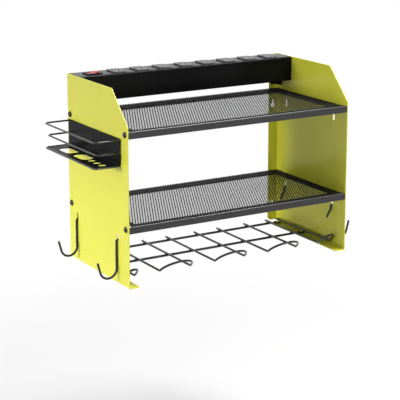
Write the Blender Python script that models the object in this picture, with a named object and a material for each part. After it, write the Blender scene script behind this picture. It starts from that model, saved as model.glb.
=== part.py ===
"""Wall-mounted organizer for cordless tools: two folded side panels carry two
expanded-metal shelves, a power strip, a rack of wire hanger loops, four side
hooks and a side bin.

Frame: metres, +Z up, +X to the viewer's right, +Y towards the wall. The origin
is on the wall plane, midway across the width, level with the bottom edges.
"""

import math

import bmesh
import bpy
from mathutils import Matrix, Vector

# Overall sizes
OVERALL_WIDTH = 0.440
OVERALL_DEPTH = 0.223
OVERALL_HEIGHT = 0.329

# Clearance kept between touching pieces, how far a cutter overruns a wall, and
# the distance under which two vertices count as one
GAP = 0.0003
OVERRUN = 0.002
MERGE = 0.000002

# Faces nearer to one plane than this become one, and edges sharper than this
# stay crisp
FLAT_ANGLE = math.radians(0.2)
SHARP_ANGLE = math.radians(35)

# Side panels: sheet steel, folded in at the bottom and at the back
PANEL_SHEET = 0.0015
PANEL_FLANGE = 0.020
PANEL_BEND_RADIUS = 0.0010
PANEL_SLOPE_DROP = 0.057
PANEL_TOP_SETBACK = 0.055
PANEL_SLOPE_FILLET = 0.004
PANEL_FRONT_FILLET = 0.0015
PANEL_CORNER_RELIEF = 0.005
PANEL_FLANGE_CHAMFER = 0.005
BEND_STEPS = 3
FILLET_STEPS = 3

# Slots that take the hooks and the bin, four in each panel
SLOT_WIDTH = 0.005
SLOT_HEIGHT = 0.015
SLOT_FRONT_SETBACK = 0.040
SLOT_REAR_SETBACK = 0.033
SLOT_LOWER_HEIGHT = 0.0725
SLOT_UPPER_DROP = 0.033

# Wall fixings in the back flanges
KEYHOLE_DROP = 0.034
KEYHOLE_HEAD = 0.009
KEYHOLE_NECK = 0.0045
KEYHOLE_RISE = 0.008
WALL_HOLE_HEIGHT = 0.040
WALL_HOLE = 0.0065

# Shelves: a folded frame and a sheet of expanded metal that lies in it
UPPER_SHELF_DROP = 0.064
LOWER_SHELF_TOP = 0.106
RAIL_HEIGHT = 0.012
FRAME_SHEET = 0.0012
RAIL_HEM = 0.0026
RAIL_HEM_FILLET_SHARE = 0.45
LEDGE_DROP = 0.0022
LEDGE_WIDTH = 0.021
TAB_LENGTH = 0.017
TAB_TOP_DROP = 0.0013
NOTCH_WIDTH = 0.010
NOTCH_LENGTH = 0.018
MESH_SHEET = 0.0012
MESH_BORDER = 0.012
MESH_CELL_WIDTH = 0.030
MESH_CELL_LENGTH = 0.052
MESH_STRAND = 0.0045

# Shelf screws and the weld nuts on the frame's tabs
SHELF_SCREW_SETBACK = 0.0095
SHELF_SCREW_DROP = 0.006
SCREW_HEAD = 0.0105
SCREW_HEAD_HEIGHT = 0.0032
SCREW_SHANK = 0.0048
SCREW_HOLE = 0.0056
SCREW_LENGTH = 0.0085
SCREW_SOCKET = 0.0030
SCREW_SOCKET_DEPTH = 0.0016
NUT_WIDTH = 0.0080
NUT_HEIGHT = 0.0035
HEXAGON_SIDES = 6
DOME_STEPS = 3
SCREW_SIDES = 10

# Hanger rack: wire loops lying on two cross rods
LOOP_WIRE = 0.0040
WIRE_BEVEL_RESOLUTION = 2
BAY_COUNT = 4
LOOP_WIDTH_SHARE = 0.545
END_LOOP_WIDTH = 0.025
END_LOOP_INSET = 0.006
LOOP_FRONT_SETBACK = 0.040
LOOP_REAR_SETBACK = 0.009
LOOP_LIP_RUN = 0.002
LOOP_LIP_LENGTH = 0.028
LOOP_LIP_ANGLE = math.radians(38)
LOOP_CREASE_RADIUS = 0.005
LOOP_STEPS = 10
ROD = 0.0045
ROD_REAR_SETBACK = 0.018
ROD_MIDDLE_SHARE = 0.44
ROD_END_WIDTH = 0.0076
ROD_END_THICKNESS = 0.0021
ROD_SIDES = 12
RACK_SCREW_INSET = 0.0135
RACK_SCREW_HEAD = 0.0075
RACK_SCREW_HEAD_HEIGHT = 0.0024
RACK_SCREW_SHANK = 0.0038
RACK_SCREW_HOLE = 0.0044

# Side hooks: wire hung over the lower edges of the lower slots
HOOK_WIRE = 0.0040
HOOK_BEND_HEIGHT = 0.0265
HOOK_BEND_RADIUS = 0.0155
HOOK_SWEEP = math.radians(165)
HOOK_TIP_LENGTH = 0.019
HOOK_TAIL_DROP = 0.004
HOOK_TAIL_LENGTH = 0.018
HOOK_TAIL_ANGLE = math.radians(28)
HOOK_TAIL_RADIUS = 0.006
HOOK_ARCH_STEPS = 6
HOOK_BEND_STEPS = 7

# Side bin: a folded plate with a slotted floor and three guard wires
BIN_FRONT_SETBACK = 0.025
BIN_REAR_SETBACK = 0.008
BIN_REACH = 0.0475
BIN_HEIGHT = 0.0455
BIN_TOP_RISE = 0.018
BIN_SHEET = 0.0015
BIN_BEND_RADIUS = 0.0010
BIN_WIRE = 0.0032
BIN_WIRE_PITCH = 0.0215
BIN_MIDDLE_WIRE_INSET = 0.005
BIN_WIRE_CORNER = 0.008
BIN_WIRE_CORNER_STEPS = 4
BIN_TAB_HEIGHT = 0.008
BIN_TAB_DROP = 0.0035
BIN_TAB_REACH = 0.0045
BIN_ROUND_HOLE = 0.014
BIN_ROUND_HOLE_COUNT = 3
BIN_SLOT_COUNT = 2
BIN_SLOT_WIDTH = 0.024
BIN_HOLE_LEAD_SHARE = 0.09
BIN_ROUND_HOLE_PITCH_SHARE = 0.10
BIN_SLOT_LENGTH_SHARE = 0.24
BIN_SLOT_PITCH_SHARE = 0.29
HOLE_STEPS = 10

# Power strip between the panels, against the back flanges
STRIP_DEPTH = 0.0467
STRIP_HEIGHT = 0.045
STRIP_END_GAP = 0.0012
STRIP_WALL = 0.0022
STRIP_BASE_HEIGHT = 0.005
STRIP_FRONT_RADIUS = 0.003
STRIP_BACK_RADIUS = 0.0015
STRIP_CAP_THICKNESS = 0.003
EAR_LENGTH = 0.014
EAR_DROP = 0.013
EAR_SCREW_DROP = 0.0065
RIB_THICKNESS = 0.002
RIB_HEIGHT = 0.012
RIB_SLOT_DEPTH = 0.004
RIB_COUNT = 5
BAR_NAMES = ("live_bar", "earth_bar", "neutral_bar")
BAR_THICKNESS = 0.001
BAR_HEIGHT = 0.006
BAR_SPACING = 0.009
BAR_END_MARGIN = 0.030

# Outlets in the strip's top
OUTLET_COUNT = 8
OUTLET_FIRST = 0.084
OUTLET_LAST = 0.041
OUTLET_WIDTH = 0.024
OUTLET_MARGIN = 0.00635
OUTLET_RISE = 0.0022
OUTLET_DEPTH = 0.012
OUTLET_FLANGE = 0.002
OUTLET_FILLET = 0.003
OUTLET_FILLET_STEPS = 2
BLADE_SLOT_WIDTH = 0.0022
BLADE_SLOT_LENGTH = 0.0080
BLADE_SPACING = 0.0127
BLADE_SHIFT = 0.004
EARTH_HOLE = 0.0052
EARTH_SHIFT = 0.0085
SOCKET_DEPTH = 0.009

# Rocker switch near the strip's left end
ROCKER_PLACE = 0.0375
ROCKER_LENGTH = 0.0196
ROCKER_WIDTH = 0.0126
ROCKER_VALLEY = 0.0022
ROCKER_FACE_ANGLE = math.radians(8)
ROCKER_SKIRT = 0.0030
ROCKER_FOOT = 0.0120
ROCKER_RUN = 0.0006
ROCKER_PIVOT_LIFT = 0.0010
PIVOT_PIN = 0.0026
PIVOT_PIN_LENGTH = 0.0010
PIVOT_SIDES = 16
BEZEL_RIM = 0.0022
BEZEL_RISE = 0.0014
BEZEL_WALL = 0.0016
BEZEL_DEPTH = 0.014
BEZEL_FLOOR = 0.0016

# Cable gland under the strip's floor
GLAND_PLACE = 0.030
GLAND_BORE = 0.0075
GLAND_SHANK = 0.0120
GLAND_HEAD = 0.0180
GLAND_HEAD_HEIGHT = 0.0070
GLAND_NOSE = 0.0130
GLAND_NOSE_HEIGHT = 0.0045
GLAND_NOSE_TAPER = 0.0010
GLAND_SIDES = 16

# Places worked out from the sizes above
HALF_WIDTH = OVERALL_WIDTH / 2
FRONT = -OVERALL_DEPTH
PANEL_INNER = HALF_WIDTH - PANEL_SHEET
FLANGE_FRONT = -PANEL_SHEET
UPPER_SHELF_TOP = OVERALL_HEIGHT - UPPER_SHELF_DROP
SLOT_DEPTHS = (FRONT + SLOT_FRONT_SETBACK, -SLOT_REAR_SETBACK)
SLOT_UPPER_HEIGHT = UPPER_SHELF_TOP - SLOT_UPPER_DROP
KEYHOLE_HEIGHT = UPPER_SHELF_TOP - KEYHOLE_DROP
BAY_PITCH = OVERALL_WIDTH / BAY_COUNT
LOOP_WIDTH = BAY_PITCH * LOOP_WIDTH_SHARE
BIN_TOP_HEIGHT = SLOT_UPPER_HEIGHT + BIN_TOP_RISE
BIN_FLOOR_HEIGHT = BIN_TOP_HEIGHT - BIN_HEIGHT
BIN_LENGTH = OVERALL_DEPTH - BIN_FRONT_SETBACK - BIN_REAR_SETBACK
OUTLET_LENGTH = STRIP_DEPTH - 2 * OUTLET_MARGIN
OUTLET_PITCH = (OVERALL_WIDTH - OUTLET_FIRST - OUTLET_LAST) / (OUTLET_COUNT - 1)
FRAME_OUTER = PANEL_INNER - GAP
FRAME_BACK = FLANGE_FRONT - GAP
SCREW_DEPTHS = (FRONT + SHELF_SCREW_SETBACK, FRAME_BACK - SHELF_SCREW_SETBACK)
ROD_HEIGHT = PANEL_SHEET + GAP + ROD / 2
LOOP_HEIGHT = ROD_HEIGHT + ROD / 2 + GAP + LOOP_WIRE / 2
STRIP_TOP = OVERALL_HEIGHT
STRIP_BOTTOM = STRIP_TOP - STRIP_HEIGHT
STRIP_SPLIT = STRIP_BOTTOM + STRIP_BASE_HEIGHT
STRIP_BACK = FLANGE_FRONT - GAP
STRIP_FRONT = STRIP_BACK - STRIP_DEPTH
STRIP_MIDDLE = (STRIP_FRONT + STRIP_BACK) / 2
STRIP_END = PANEL_INNER - STRIP_END_GAP
BODY_END = STRIP_END - STRIP_CAP_THICKNESS - GAP

MATERIALS = {}


def material(name, colour, roughness, metallic=0.0):
    """Return the named Principled material, making it on first use."""
    if name not in MATERIALS:
        made = bpy.data.materials.new(name)
        made.use_nodes = True
        shader = made.node_tree.nodes["Principled BSDF"]
        shader.inputs["Base Color"].default_value = (*colour, 1.0)
        shader.inputs["Roughness"].default_value = roughness
        shader.inputs["Metallic"].default_value = metallic
        MATERIALS[name] = made
    return MATERIALS[name]


def lime_paint():
    return material("lime_powder_coat", (0.78, 0.83, 0.06), 0.25)


def dark_paint():
    return material("charcoal_powder_coat", (0.035, 0.035, 0.038), 0.45)


def black_wire():
    return material("black_coated_wire", (0.012, 0.012, 0.013), 0.3)


def black_plastic():
    return material("gloss_black_plastic", (0.010, 0.010, 0.011), 0.15)


def grey_plastic():
    return material("grey_plastic", (0.10, 0.10, 0.105), 0.4)


def add_object(name, bm, look):
    """Link a bmesh to the scene as a named object with its own material copy."""
    bmesh.ops.recalc_face_normals(bm, faces=bm.faces)
    mesh = bpy.data.meshes.new(name)
    bm.to_mesh(mesh)
    bm.free()
    mesh.shade_smooth()
    mesh.set_sharp_from_angle(angle=SHARP_ANGLE)
    finish = look.copy()
    finish.name = name + "_finish"
    mesh.materials.append(finish)
    made = bpy.data.objects.new(name, mesh)
    bpy.context.collection.objects.link(made)
    return made


def prism(outline, axis, low, high):
    """Sweep a flat outline from low to high along X, Y or Z.

    The outline's pairs are (y, z) for X, (x, z) for Y and (x, y) for Z.
    """
    place = {
        "X": lambda pair, end: (end, pair[0], pair[1]),
        "Y": lambda pair, end: (pair[0], end, pair[1]),
        "Z": lambda pair, end: (pair[0], pair[1], end),
    }[axis]
    bm = bmesh.new()
    near = [bm.verts.new(place(pair, low)) for pair in outline]
    far = [bm.verts.new(place(pair, high)) for pair in outline]
    bm.faces.new(near)
    bm.faces.new(list(reversed(far)))
    for index in range(len(outline)):
        after = (index + 1) % len(outline)
        bm.faces.new((near[after], near[index], far[index], far[after]))
    bmesh.ops.recalc_face_normals(bm, faces=bm.faces)
    return bm


def box(low, high):
    """Solid box between two corners."""
    outline = [(low[0], low[1]), (high[0], low[1]), (high[0], high[1]), (low[0], high[1])]
    return prism(outline, "Z", low[2], high[2])


def rounded_outline(corners, steps=FILLET_STEPS):
    """Outline with arcs: corners are (u, v, fillet radius)."""
    outline = []
    count = len(corners)
    for index, (u, v, radius) in enumerate(corners):
        corner = Vector((u, v))
        if radius == 0:
            outline.append((u, v))
            continue
        before = Vector(corners[index - 1][:2])
        after = Vector(corners[(index + 1) % count][:2])
        inward = (before - corner).normalized()
        outward = (after - corner).normalized()
        half = inward.angle(outward) / 2
        centre = corner + (inward + outward).normalized() * (radius / math.sin(half))
        start = corner + inward * (radius / math.tan(half)) - centre
        end = corner + outward * (radius / math.tan(half)) - centre
        for step in range(steps + 1):
            spoke = start.slerp(end, step / steps, start)
            outline.append(tuple(centre + spoke.normalized() * radius))
    return outline


def circle(centre, diameter, steps):
    """Outline of a circle about a centre pair."""
    radius = diameter / 2
    angles = [2 * math.pi * step / steps for step in range(steps)]
    return [(centre[0] + radius * math.cos(a), centre[1] + radius * math.sin(a)) for a in angles]


def oblong(centre, width, height, steps):
    """Outline of a slot with round ends, its long way along the second coordinate."""
    radius = width / 2
    reach = height / 2 - radius
    outline = []
    for side in (1, -1):
        for step in range(steps + 1):
            angle = math.pi * step / steps + (0 if side > 0 else math.pi)
            u = centre[0] + radius * math.cos(angle)
            v = centre[1] + side * reach + radius * math.sin(angle)
            outline.append((u, v))
    return outline


def combine(first, second, operation):
    """Boolean of two bmesh solids; both are used up and a new one comes back."""
    objects = []
    for index, bm in enumerate((first, second)):
        mesh = bpy.data.meshes.new("combine_%d" % index)
        bm.to_mesh(mesh)
        bm.free()
        made = bpy.data.objects.new("combine_%d" % index, mesh)
        bpy.context.collection.objects.link(made)
        objects.append(made)
    change = objects[0].modifiers.new("combine", "BOOLEAN")
    change.object = objects[1]
    change.operation = operation
    change.solver = "EXACT"
    graph = bpy.context.evaluated_depsgraph_get()
    result = bmesh.new()
    result.from_object(objects[0], graph)
    for made in objects:
        mesh = made.data
        bpy.data.objects.remove(made)
        bpy.data.meshes.remove(mesh)
    bmesh.ops.remove_doubles(result, verts=result.verts, dist=MERGE)
    bmesh.ops.dissolve_limit(
        result, angle_limit=FLAT_ANGLE, verts=result.verts, edges=result.edges
    )
    return result


def cut(solid, cutter):
    return combine(solid, cutter, "DIFFERENCE")


def join(solid, other):
    return combine(solid, other, "UNION")


def merged(solids):
    """One bmesh holding several separate solids, for a single cut."""
    whole = solids[0]
    for solid in solids[1:]:
        mesh = bpy.data.meshes.new("merge")
        solid.to_mesh(mesh)
        solid.free()
        whole.from_mesh(mesh)
        bpy.data.meshes.remove(mesh)
    return whole


def mirrored(bm):
    """Turn a left-hand solid into its right-hand twin across X = 0."""
    for vertex in bm.verts:
        vertex.co.x = -vertex.co.x
    bmesh.ops.reverse_faces(bm, faces=bm.faces)
    return bm


def revolved(profile, steps):
    """Turn a closed (radius, height) profile about the Z axis."""
    bm = bmesh.new()
    points = [bm.verts.new((radius, 0, height)) for radius, height in profile]
    edges = [bm.edges.new((points[index - 1], points[index])) for index in range(len(points))]
    bmesh.ops.spin(
        bm, geom=points + edges, cent=(0, 0, 0), axis=(0, 0, 1), angle=2 * math.pi,
        steps=steps, use_merge=True,
    )
    bmesh.ops.remove_doubles(bm, verts=bm.verts, dist=MERGE)
    bmesh.ops.dissolve_degenerate(bm, edges=bm.edges, dist=MERGE)
    loose = [edge for edge in bm.edges if not edge.link_faces]
    bmesh.ops.delete(bm, geom=loose, context="EDGES")
    bmesh.ops.recalc_face_normals(bm, faces=bm.faces)
    return bm


def rounded_path(points, radius, steps):
    """Polyline whose inner corners are turned into arcs of one radius."""
    path = [Vector(points[0])]
    for index in range(1, len(points) - 1):
        corner = Vector(points[index])
        before = (corner - Vector(points[index - 1])).normalized()
        after = (Vector(points[index + 1]) - corner).normalized()
        turn = before.angle(after)
        start = corner - before * (radius * math.tan(turn / 2))
        side = (after - before * before.dot(after)).normalized()
        for step in range(steps + 1):
            angle = turn * step / steps
            along = before * (radius * math.sin(angle))
            across = side * (radius * (1 - math.cos(angle)))
            path.append(start + along + across)
    path.append(Vector(points[-1]))
    return path


def wire_object(name, path, diameter, look):
    """Bent wire: a curve with a round bevel and closed ends."""
    curve = bpy.data.curves.new(name, "CURVE")
    curve.dimensions = "3D"
    curve.bevel_depth = diameter / 2
    curve.bevel_resolution = WIRE_BEVEL_RESOLUTION
    curve.use_fill_caps = True
    curve.twist_mode = "MINIMUM"
    spline = curve.splines.new("POLY")
    spline.points.add(len(path) - 1)
    for point, place in zip(spline.points, path):
        point.co = (*place, 1.0)
    finish = look.copy()
    finish.name = name + "_finish"
    curve.materials.append(finish)
    made = bpy.data.objects.new(name, curve)
    bpy.context.collection.objects.link(made)
    return made


def bend_allowance():
    """Length of sheet that a right-angle bend in the panel uses up."""
    return (PANEL_BEND_RADIUS + PANEL_SHEET / 2) * math.pi / 2


def flat_place(distance):
    """Where a flange point lies on the flat blank, below its bend line."""
    return distance - PANEL_BEND_RADIUS - PANEL_SHEET + bend_allowance()


def fold(bm, component, line, outward):
    """Fold the blank inwards by 90 degrees beyond a bend line.

    The blank's outer face lies at X = -HALF_WIDTH. component is 1 for a fold
    along Z, across Y, or 2 for a fold along Y, across Z.
    """
    allowance = bend_allowance()
    outer_radius = PANEL_BEND_RADIUS + PANEL_SHEET
    for step in range(BEND_STEPS + 1):
        place = [0.0, 0.0, 0.0]
        place[component] = line + outward * allowance * step / BEND_STEPS
        normal = [0.0, 0.0, 0.0]
        normal[component] = 1.0
        geometry = bm.verts[:] + bm.edges[:] + bm.faces[:]
        bmesh.ops.bisect_plane(bm, geom=geometry, plane_co=place, plane_no=normal, dist=MERGE)
    for vertex in bm.verts:
        beyond = (vertex.co[component] - line) * outward
        if beyond <= 0:
            continue
        height = vertex.co.x + HALF_WIDTH
        angle = min(beyond / allowance, 1) * math.pi / 2
        spoke = outer_radius - height
        straight = max(beyond - allowance, 0)
        vertex.co[component] = line + outward * spoke * math.sin(angle)
        vertex.co.x = -HALF_WIDTH + outer_radius - spoke * math.cos(angle) + straight


def panel_blank():
    """Flat outline of the left panel with both flanges still in its plane."""
    bend = PANEL_BEND_RADIUS + PANEL_SHEET
    bottom_line = bend
    back_line = -bend
    flat_bottom = bottom_line - flat_place(PANEL_FLANGE)
    flat_back = back_line + flat_place(PANEL_FLANGE)
    relief = PANEL_CORNER_RELIEF
    chamfer = PANEL_FLANGE_CHAMFER
    corners = [
        (FRONT, flat_bottom, PANEL_FRONT_FILLET),
        (FRONT, OVERALL_HEIGHT - PANEL_SLOPE_DROP, PANEL_SLOPE_FILLET),
        (FRONT + PANEL_TOP_SETBACK, OVERALL_HEIGHT, PANEL_SLOPE_FILLET),
        (back_line, OVERALL_HEIGHT, 0),
        (flat_back - chamfer, OVERALL_HEIGHT, 0),
        (flat_back, OVERALL_HEIGHT - chamfer, 0),
        (flat_back, relief + chamfer, 0),
        (flat_back - chamfer, relief, 0),
        (back_line, relief, 0),
        (-relief, relief, 0),
        (-relief, bottom_line, 0),
        (-relief, flat_bottom + chamfer, 0),
        (-relief - chamfer, flat_bottom, 0),
    ]
    blank = prism(rounded_outline(corners), "X", -HALF_WIDTH, -PANEL_INNER)
    return blank, bottom_line, back_line


def panel_cutters(bottom_line, back_line):
    """Slots, screw holes, keyhole, wall hole and flange holes, on the flat blank."""
    low = -HALF_WIDTH - OVERRUN
    high = -PANEL_INNER + OVERRUN
    outlines = []
    for depth in SLOT_DEPTHS:
        for height in (SLOT_LOWER_HEIGHT, SLOT_UPPER_HEIGHT):
            centre = (depth, height + SLOT_HEIGHT / 2)
            outlines.append(oblong(centre, SLOT_WIDTH, SLOT_HEIGHT, FILLET_STEPS))
    for depth in SCREW_DEPTHS:
        for top in (UPPER_SHELF_TOP, LOWER_SHELF_TOP):
            outlines.append(circle((depth, top - SHELF_SCREW_DROP), SCREW_HOLE, HOLE_STEPS))
    flange_middle = back_line + flat_place(PANEL_FLANGE / 2 + PANEL_SHEET / 2)
    outlines.append(circle((flange_middle, WALL_HOLE_HEIGHT), WALL_HOLE, HOLE_STEPS))
    outlines.append(keyhole_outline(flange_middle))
    ear_place = back_line + flat_place(HALF_WIDTH - ear_screw_place())
    ear_height = STRIP_BOTTOM - EAR_SCREW_DROP
    outlines.append(circle((ear_place, ear_height), RACK_SCREW_HOLE, HOLE_STEPS))
    rack_place = bottom_line - flat_place(RACK_SCREW_INSET)
    for depth in rod_depths():
        outlines.append(circle((depth, rack_place), RACK_SCREW_HOLE, HOLE_STEPS))
    return merged([prism(outline, "X", low, high) for outline in outlines])


def keyhole_outline(middle):
    """Round opening for a screw head with a narrow neck rising from it."""
    head = KEYHOLE_HEAD / 2
    neck = KEYHOLE_NECK / 2
    opening = math.asin(neck / head)
    outline = []
    for step in range(HOLE_STEPS + 1):
        angle = math.pi / 2 + opening + (2 * math.pi - 2 * opening) * step / HOLE_STEPS
        outline.append((middle + head * math.cos(angle), KEYHOLE_HEIGHT + head * math.sin(angle)))
    top = KEYHOLE_HEIGHT + KEYHOLE_RISE
    for step in range(FILLET_STEPS + 1):
        angle = math.pi * step / FILLET_STEPS
        outline.append((middle + neck * math.cos(angle), top + neck * math.sin(angle)))
    return outline


def rod_depths():
    return (-ROD_REAR_SETBACK, -OVERALL_DEPTH * ROD_MIDDLE_SHARE)


def ear_screw_place():
    """X distance of the strip's fixing screws from the middle."""
    return STRIP_END - STRIP_CAP_THICKNESS - (EAR_LENGTH - STRIP_CAP_THICKNESS) / 2


def side_panels():
    """Both panels, each folded from one flat blank."""
    for name in ("left_side_panel", "right_side_panel"):
        blank, bottom_line, back_line = panel_blank()
        sheet = cut(blank, panel_cutters(bottom_line, back_line))
        fold(sheet, 2, bottom_line, -1)
        fold(sheet, 1, back_line, 1)
        if name == "right_side_panel":
            sheet = mirrored(sheet)
        add_object(name, sheet, lime_paint())


def front_rail_outline(top):
    """(y, z) section of the front rail: hemmed top edge, web and mesh ledge."""
    ledge_top = top - LEDGE_DROP
    web_back = FRONT + FRAME_SHEET
    hem_back = FRONT + RAIL_HEM
    hem_fillet = RAIL_HEM * RAIL_HEM_FILLET_SHARE
    return rounded_outline([
        (FRONT, top - RAIL_HEIGHT, 0),
        (FRONT, top, hem_fillet),
        (hem_back, top, hem_fillet),
        (hem_back, ledge_top, 0),
        (FRONT + LEDGE_WIDTH, ledge_top, 0),
        (FRONT + LEDGE_WIDTH, ledge_top - FRAME_SHEET, 0),
        (web_back, ledge_top - FRAME_SHEET, 0),
        (web_back, top - RAIL_HEIGHT, 0),
    ])


def angle_outline(edge, inward, top):
    """Section of a side or rear rail: web at the edge, ledge turned inwards."""
    ledge_top = top - LEDGE_DROP
    return rounded_outline([
        (edge, top - RAIL_HEIGHT, 0),
        (edge, ledge_top, FRAME_SHEET),
        (edge + inward * LEDGE_WIDTH, ledge_top, 0),
        (edge + inward * LEDGE_WIDTH, ledge_top - FRAME_SHEET, 0),
        (edge + inward * FRAME_SHEET, ledge_top - FRAME_SHEET, 0),
        (edge + inward * FRAME_SHEET, top - RAIL_HEIGHT, 0),
    ])


def hexagon(centre, width):
    """Outline of a hexagon by its width across the flats."""
    return circle(centre, width / math.cos(math.pi / HEXAGON_SIDES), HEXAGON_SIDES)


def shelf_frame(name, top):
    """Folded ring frame with hemmed front rail, end tabs and weld nuts."""
    frame = prism(front_rail_outline(top), "X", -FRAME_OUTER, FRAME_OUTER)
    frame = join(frame, prism(angle_outline(FRAME_BACK, -1, top), "X", -FRAME_OUTER, FRAME_OUTER))
    screw_height = top - SHELF_SCREW_DROP
    for side in (-1, 1):
        edge = side * FRAME_OUTER
        rail = prism(angle_outline(edge, -side, top), "Y", FRONT + FRAME_SHEET, FRAME_BACK - FRAME_SHEET)
        frame = join(frame, rail)
        for depth, near in ((FRONT + FRAME_SHEET, 1), (FRAME_BACK - FRAME_SHEET, -1)):
            clear = sorted((depth, depth + near * NOTCH_LENGTH))
            across = sorted((edge - side * FRAME_SHEET, edge - side * NOTCH_WIDTH))
            low = (across[0], clear[0], top - LEDGE_DROP - FRAME_SHEET - OVERRUN)
            high = (across[1], clear[1], top + OVERRUN)
            frame = cut(frame, box(low, high))
            tab = sorted((depth, depth + near * TAB_LENGTH))
            wall = sorted((edge, edge - side * FRAME_SHEET))
            low = (wall[0], tab[0], top - RAIL_HEIGHT)
            high = (wall[1], tab[1], top - TAB_TOP_DROP)
            frame = join(frame, box(low, high))
        for depth in SCREW_DEPTHS:
            reach = sorted((edge - side * FRAME_SHEET / 2, edge - side * (FRAME_SHEET + NUT_HEIGHT)))
            nut = prism(hexagon((depth, screw_height), NUT_WIDTH), "X", reach[0], reach[1])
            frame = join(frame, nut)
            reach = sorted((edge + side * OVERRUN, edge - side * (FRAME_SHEET + NUT_HEIGHT + OVERRUN)))
            bore = prism(circle((depth, screw_height), SCREW_HOLE, HOLE_STEPS), "X", reach[0], reach[1])
            frame = cut(frame, bore)
    add_object(name, frame, dark_paint())


def mesh_outline():
    """(x, y) outline of the mesh sheet, notched at its corners for the tabs."""
    side = FRAME_OUTER - FRAME_SHEET - GAP
    front = FRONT + RAIL_HEM + GAP
    back = FRAME_BACK - FRAME_SHEET - GAP
    notch_x = FRAME_OUTER - NOTCH_WIDTH - GAP
    notch_front = FRONT + FRAME_SHEET + NOTCH_LENGTH + GAP
    notch_back = FRAME_BACK - FRAME_SHEET - NOTCH_LENGTH - GAP
    right = [
        (notch_x, front),
        (notch_x, notch_front),
        (side, notch_front),
        (side, notch_back),
        (notch_x, notch_back),
        (notch_x, back),
    ]
    left = [(-x, y) for x, y in reversed(right)]
    return right + left, (side, front, back)


def diamonds(side, front, back):
    """Staggered diamond openings, long way front to back, inside the border."""
    half_width = MESH_CELL_WIDTH / 2
    half_length = MESH_CELL_LENGTH / 2
    edge_distance = half_width * half_length / math.hypot(half_width, half_length)
    shrink = (edge_distance - MESH_STRAND / 2) / edge_distance
    open_width = half_width * shrink
    open_length = half_length * shrink
    middle = (front + back) / 2
    room_x = side - MESH_BORDER - open_width
    room_y = (back - front) / 2 - MESH_BORDER - open_length
    columns = int(room_x / half_width)
    rows = int(room_y / half_length)
    outlines = []
    for column in range(-columns, columns + 1):
        for row in range(-rows, rows + 1):
            if (column + row) % 2:
                continue
            x = column * half_width
            y = middle + row * half_length
            outlines.append([
                (x + open_width, y),
                (x, y + open_length),
                (x - open_width, y),
                (x, y - open_length),
            ])
    return outlines


def shelf_mesh(name, top):
    """Expanded-metal sheet resting on the frame's ledge."""
    outline, room = mesh_outline()
    low = top - LEDGE_DROP + GAP
    high = low + MESH_SHEET
    sheet = prism(outline, "Z", low, high)
    holes = [prism(hole, "Z", low - OVERRUN, high + OVERRUN) for hole in diamonds(*room)]
    add_object(name, cut(sheet, merged(holes)), dark_paint())


def button_screw(head, head_height, shank, length):
    """Screw along +Z with a domed head on Z = 0 and its shank below."""
    dome_radius = ((head / 2) ** 2 + head_height ** 2) / (2 * head_height)
    half_angle = math.asin(head / 2 / dome_radius)
    dome = []
    for step in range(DOME_STEPS):
        angle = half_angle * (1 - step / DOME_STEPS)
        height = dome_radius * math.cos(angle) + head_height - dome_radius
        dome.append((dome_radius * math.sin(angle), height))
    profile = [(0, -length), (shank / 2, -length), (shank / 2, 0)] + dome + [(0, head_height)]
    return revolved(profile, SCREW_SIDES)


def shelf_screws():
    """Eight button-head screws through the panels into the weld nuts."""
    solid = button_screw(SCREW_HEAD, SCREW_HEAD_HEIGHT, SCREW_SHANK, SCREW_LENGTH)
    socket_low = SCREW_HEAD_HEIGHT - SCREW_SOCKET_DEPTH
    socket = prism(hexagon((0, 0), SCREW_SOCKET), "Z", socket_low, SCREW_HEAD_HEIGHT + OVERRUN)
    solid = cut(solid, socket)
    for level, top in (("upper", UPPER_SHELF_TOP), ("lower", LOWER_SHELF_TOP)):
        for side_name, side in (("left", -1), ("right", 1)):
            for end_name, depth in zip(("front", "rear"), SCREW_DEPTHS):
                name = "shelf_screw_%s_%s_%s" % (level, side_name, end_name)
                made = add_object(name, solid.copy(), black_wire())
                made.location = (side * (HALF_WIDTH + GAP), depth, top - SHELF_SCREW_DROP)
                made.rotation_euler = (0, side * math.pi / 2, 0)
    solid.free()


def loop_path(middle, width):
    """Centre line of one hanger loop: two prongs joined by a raised round lip."""
    half = width / 2
    crease = FRONT + LOOP_FRONT_SETBACK
    forward = -math.cos(LOOP_LIP_ANGLE)
    upward = math.sin(LOOP_LIP_ANGLE)
    prong = [
        (middle - half, -LOOP_REAR_SETBACK, LOOP_HEIGHT),
        (middle - half, crease, LOOP_HEIGHT),
        (
            middle - half,
            crease + forward * LOOP_LIP_RUN,
            LOOP_HEIGHT + upward * LOOP_LIP_RUN,
        ),
    ]
    left = rounded_path(prong, LOOP_CREASE_RADIUS, BEND_STEPS)
    lip = []
    for step in range(1, LOOP_STEPS):
        angle = math.pi * step / LOOP_STEPS
        reach = LOOP_LIP_RUN + LOOP_LIP_LENGTH * math.sin(angle)
        lip.append(Vector((
            middle - half * math.cos(angle),
            crease + forward * reach,
            LOOP_HEIGHT + upward * reach,
        )))
    right = [Vector((2 * middle - place.x, place.y, place.z)) for place in reversed(left)]
    return left + lip + right


def hanger_loops():
    """Three full loops between the bays and a narrow one beside each panel."""
    end_middle = HALF_WIDTH - END_LOOP_INSET - END_LOOP_WIDTH / 2
    middles = [(-end_middle, END_LOOP_WIDTH)]
    for bay in range(1, BAY_COUNT):
        middles.append(((bay - BAY_COUNT / 2) * BAY_PITCH, LOOP_WIDTH))
    middles.append((end_middle, END_LOOP_WIDTH))
    for index, (middle, width) in enumerate(middles):
        name = "hanger_loop_%d" % (index + 1)
        wire_object(name, loop_path(middle, width), LOOP_WIRE, black_wire())


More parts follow.
